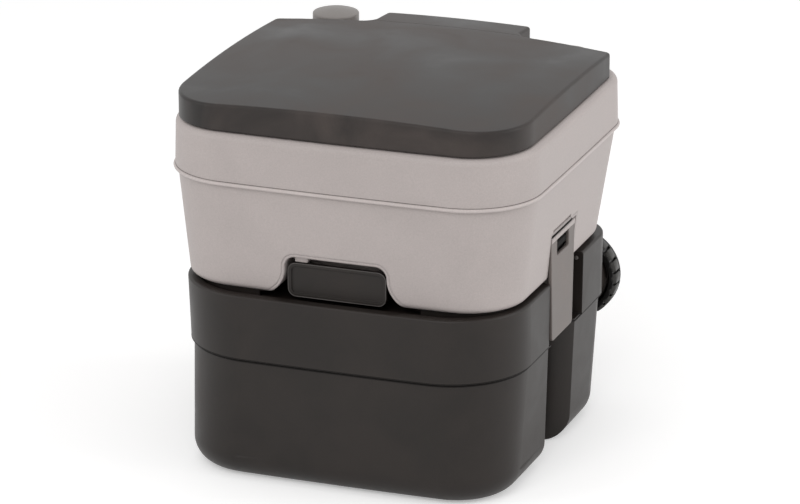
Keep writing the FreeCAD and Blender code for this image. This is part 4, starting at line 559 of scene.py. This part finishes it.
def add_latch_trim(finishes):
    """At each latch: a dark block over it and a dark sheet behind its window as painted shade, and a light
    bar on its arm as a painted highlight.
    """
    for side, name in ((1, "right"), (-1, "left")):
        side_block("pocket_shadow_slot_" + name, side, SHADOW_SLOT_BLOCK, finishes["shade"], "flush_unit", "dark_body")
        side_block("window_shade_" + name, side, WINDOW_BLOCK, finishes["shade"], "flush_unit", "dark_body")
        side_block("latch_highlight_bar_" + name, side, HIGHLIGHT_BAR_BLOCK, finishes["light_body"], "latch_" + name + "_arm",
                   "light_body")


# ---------------------------------------------------------------- spout, filler and rear block
SPOUT_AXIS_X = 0.139
SPOUT_AXIS_Z = 0.137
CAP_RADIUS = 0.046
CAP_LANDS = 22
LAND_ROWS = ((0.1855, -0.0022), (0.1862, 0.0030), (0.1870, 0.0034),
             (0.1988, 0.0034), (0.1995, 0.0030), (0.2002, -0.0022))   # y, height over the cap's wall
LAND_SHARES = (-0.40, -0.36, 0.0, 0.36, 0.40)   # across a land, in pitches
LAND_SIDE_FALL = 0.0012             # how much lower a land is at its two sides
CAP_RIM_RADIUS = 0.0472
CAP_RIM_Y = 0.2018
CAP_RIM_BEAD = 0.0019
CAP_RIM_STEPS = CAP_LANDS * 4
SPOUT_THREAD_START = Vector((SPOUT_AXIS_X, 0.1865, SPOUT_AXIS_Z))
SPOUT_THREAD_RADIUS = 0.0370
SPOUT_THREAD_PITCH = 0.006
SPOUT_THREAD_TURNS = 1.6
SPOUT_THREAD_BEAD = 0.0014
FILLER_THREAD_START = Vector((0.132, 0.177, 0.3765))
FILLER_THREAD_RADIUS = 0.0155
FILLER_THREAD_PITCH = 0.005
FILLER_THREAD_TURNS = 2.0
FILLER_THREAD_BEAD = 0.0009
HELIX_STEPS = 48
STUD_CENTRE = (0.1810, 0.0672, 0.2000)
STUD_SIDES = 16
STUD_ROWS = ((0.0, 0.0022), (0.0012, 0.0022), (0.0018, 0.0019), (0.0022, 0.0011))   # forward, radius


def add_cap_lands(finishes):
    """Broad raised lands round the spout's cap, grey as a painted highlight, with a narrow groove between two
    of them, and its rim.
    """
    land = moulded_plastic("painted_cap_land_highlight", CAP_LAND_HIGHLIGHT, roughness=0.42)
    pitch = 2 * math.pi / CAP_LANDS
    across = len(LAND_SHARES)
    points = []
    faces = []
    for i in range(CAP_LANDS):
        start = len(points)
        for y, out in LAND_ROWS:
            for k, share in enumerate(LAND_SHARES):
                reach = CAP_RADIUS + out - (LAND_SIDE_FALL if k in (0, across - 1) else 0.0)
                turn = (i + share) * pitch
                points.append((SPOUT_AXIS_X + reach * math.cos(turn), y,
                               SPOUT_AXIS_Z + reach * math.sin(turn)))
        for a in range(len(LAND_ROWS) - 1):
            for b in range(across - 1):
                first = start + a * across + b
                faces.append((first, first + 1, first + 1 + across, first + across))
    add_piece("spout_cap_lands", points, faces, land, "spout_lid")
    rim = []
    for i in range(CAP_RIM_STEPS):
        turn = 2 * math.pi * i / CAP_RIM_STEPS
        rim.append(Vector((SPOUT_AXIS_X + CAP_RIM_RADIUS * math.cos(turn), CAP_RIM_Y,
                           SPOUT_AXIS_Z + CAP_RIM_RADIUS * math.sin(turn))))
    tube("spout_cap_rim", rim + rim[:1], CAP_RIM_BEAD, finishes["cap_black"], "spout_lid")


def helix(start, axis, radius, pitch, turns):
    """A path that climbs round an axis square to X, from its +X side."""
    across = Vector((1, 0, 0))
    other = axis.cross(across)
    path = []
    for i in range(int(turns * HELIX_STEPS) + 1):
        turn = 2 * math.pi * i / HELIX_STEPS
        rise = axis * (pitch * i / HELIX_STEPS)
        path.append(start + rise + radius * (math.cos(turn) * across + math.sin(turn) * other))
    return path


def add_threads(finishes):
    spout = helix(SPOUT_THREAD_START, Vector((0, 1, 0)), SPOUT_THREAD_RADIUS, SPOUT_THREAD_PITCH,
                  SPOUT_THREAD_TURNS)
    tube("spout_thread", spout, SPOUT_THREAD_BEAD, finishes["dark_body"], "waste_tank")
    filler = helix(FILLER_THREAD_START, Vector((0, 0, 1)), FILLER_THREAD_RADIUS, FILLER_THREAD_PITCH,
                   FILLER_THREAD_TURNS)
    tube("filler_thread", filler, FILLER_THREAD_BEAD, finishes["light_body"], "flush_unit")


def add_stud():
    """The small round stud at the top front corner of the rear block."""
    stud = moulded_plastic("stud_plastic", STUD, roughness=0.35, edge=FINE_EDGE)
    points = []
    for out, radius in STUD_ROWS:
        for k in range(STUD_SIDES):
            turn = 2 * math.pi * k / STUD_SIDES
            points.append((STUD_CENTRE[0] + radius * math.cos(turn), STUD_CENTRE[1] - out,
                           STUD_CENTRE[2] + radius * math.sin(turn)))
    faces = band_faces(len(STUD_ROWS), STUD_SIDES)
    faces.append(tuple(range((len(STUD_ROWS) - 1) * STUD_SIDES, len(STUD_ROWS) * STUD_SIDES)))
    faces.append(tuple(range(STUD_SIDES)))
    add_piece("block_stud", points, faces, stud, "waste_tank")


# ---------------------------------------------------------------- the scene
add_camera()
add_world()
for light in AREA_LIGHTS:
    add_area_light(*light)
add_floor()
made_finishes = dress_nodes()
add_lines()
add_handle_trim(made_finishes)
add_latch_trim(made_finishes)
add_cap_lands(made_finishes)
add_threads(made_finishes)
add_stud()
bpy.context.scene.view_settings.view_transform = "Standard"
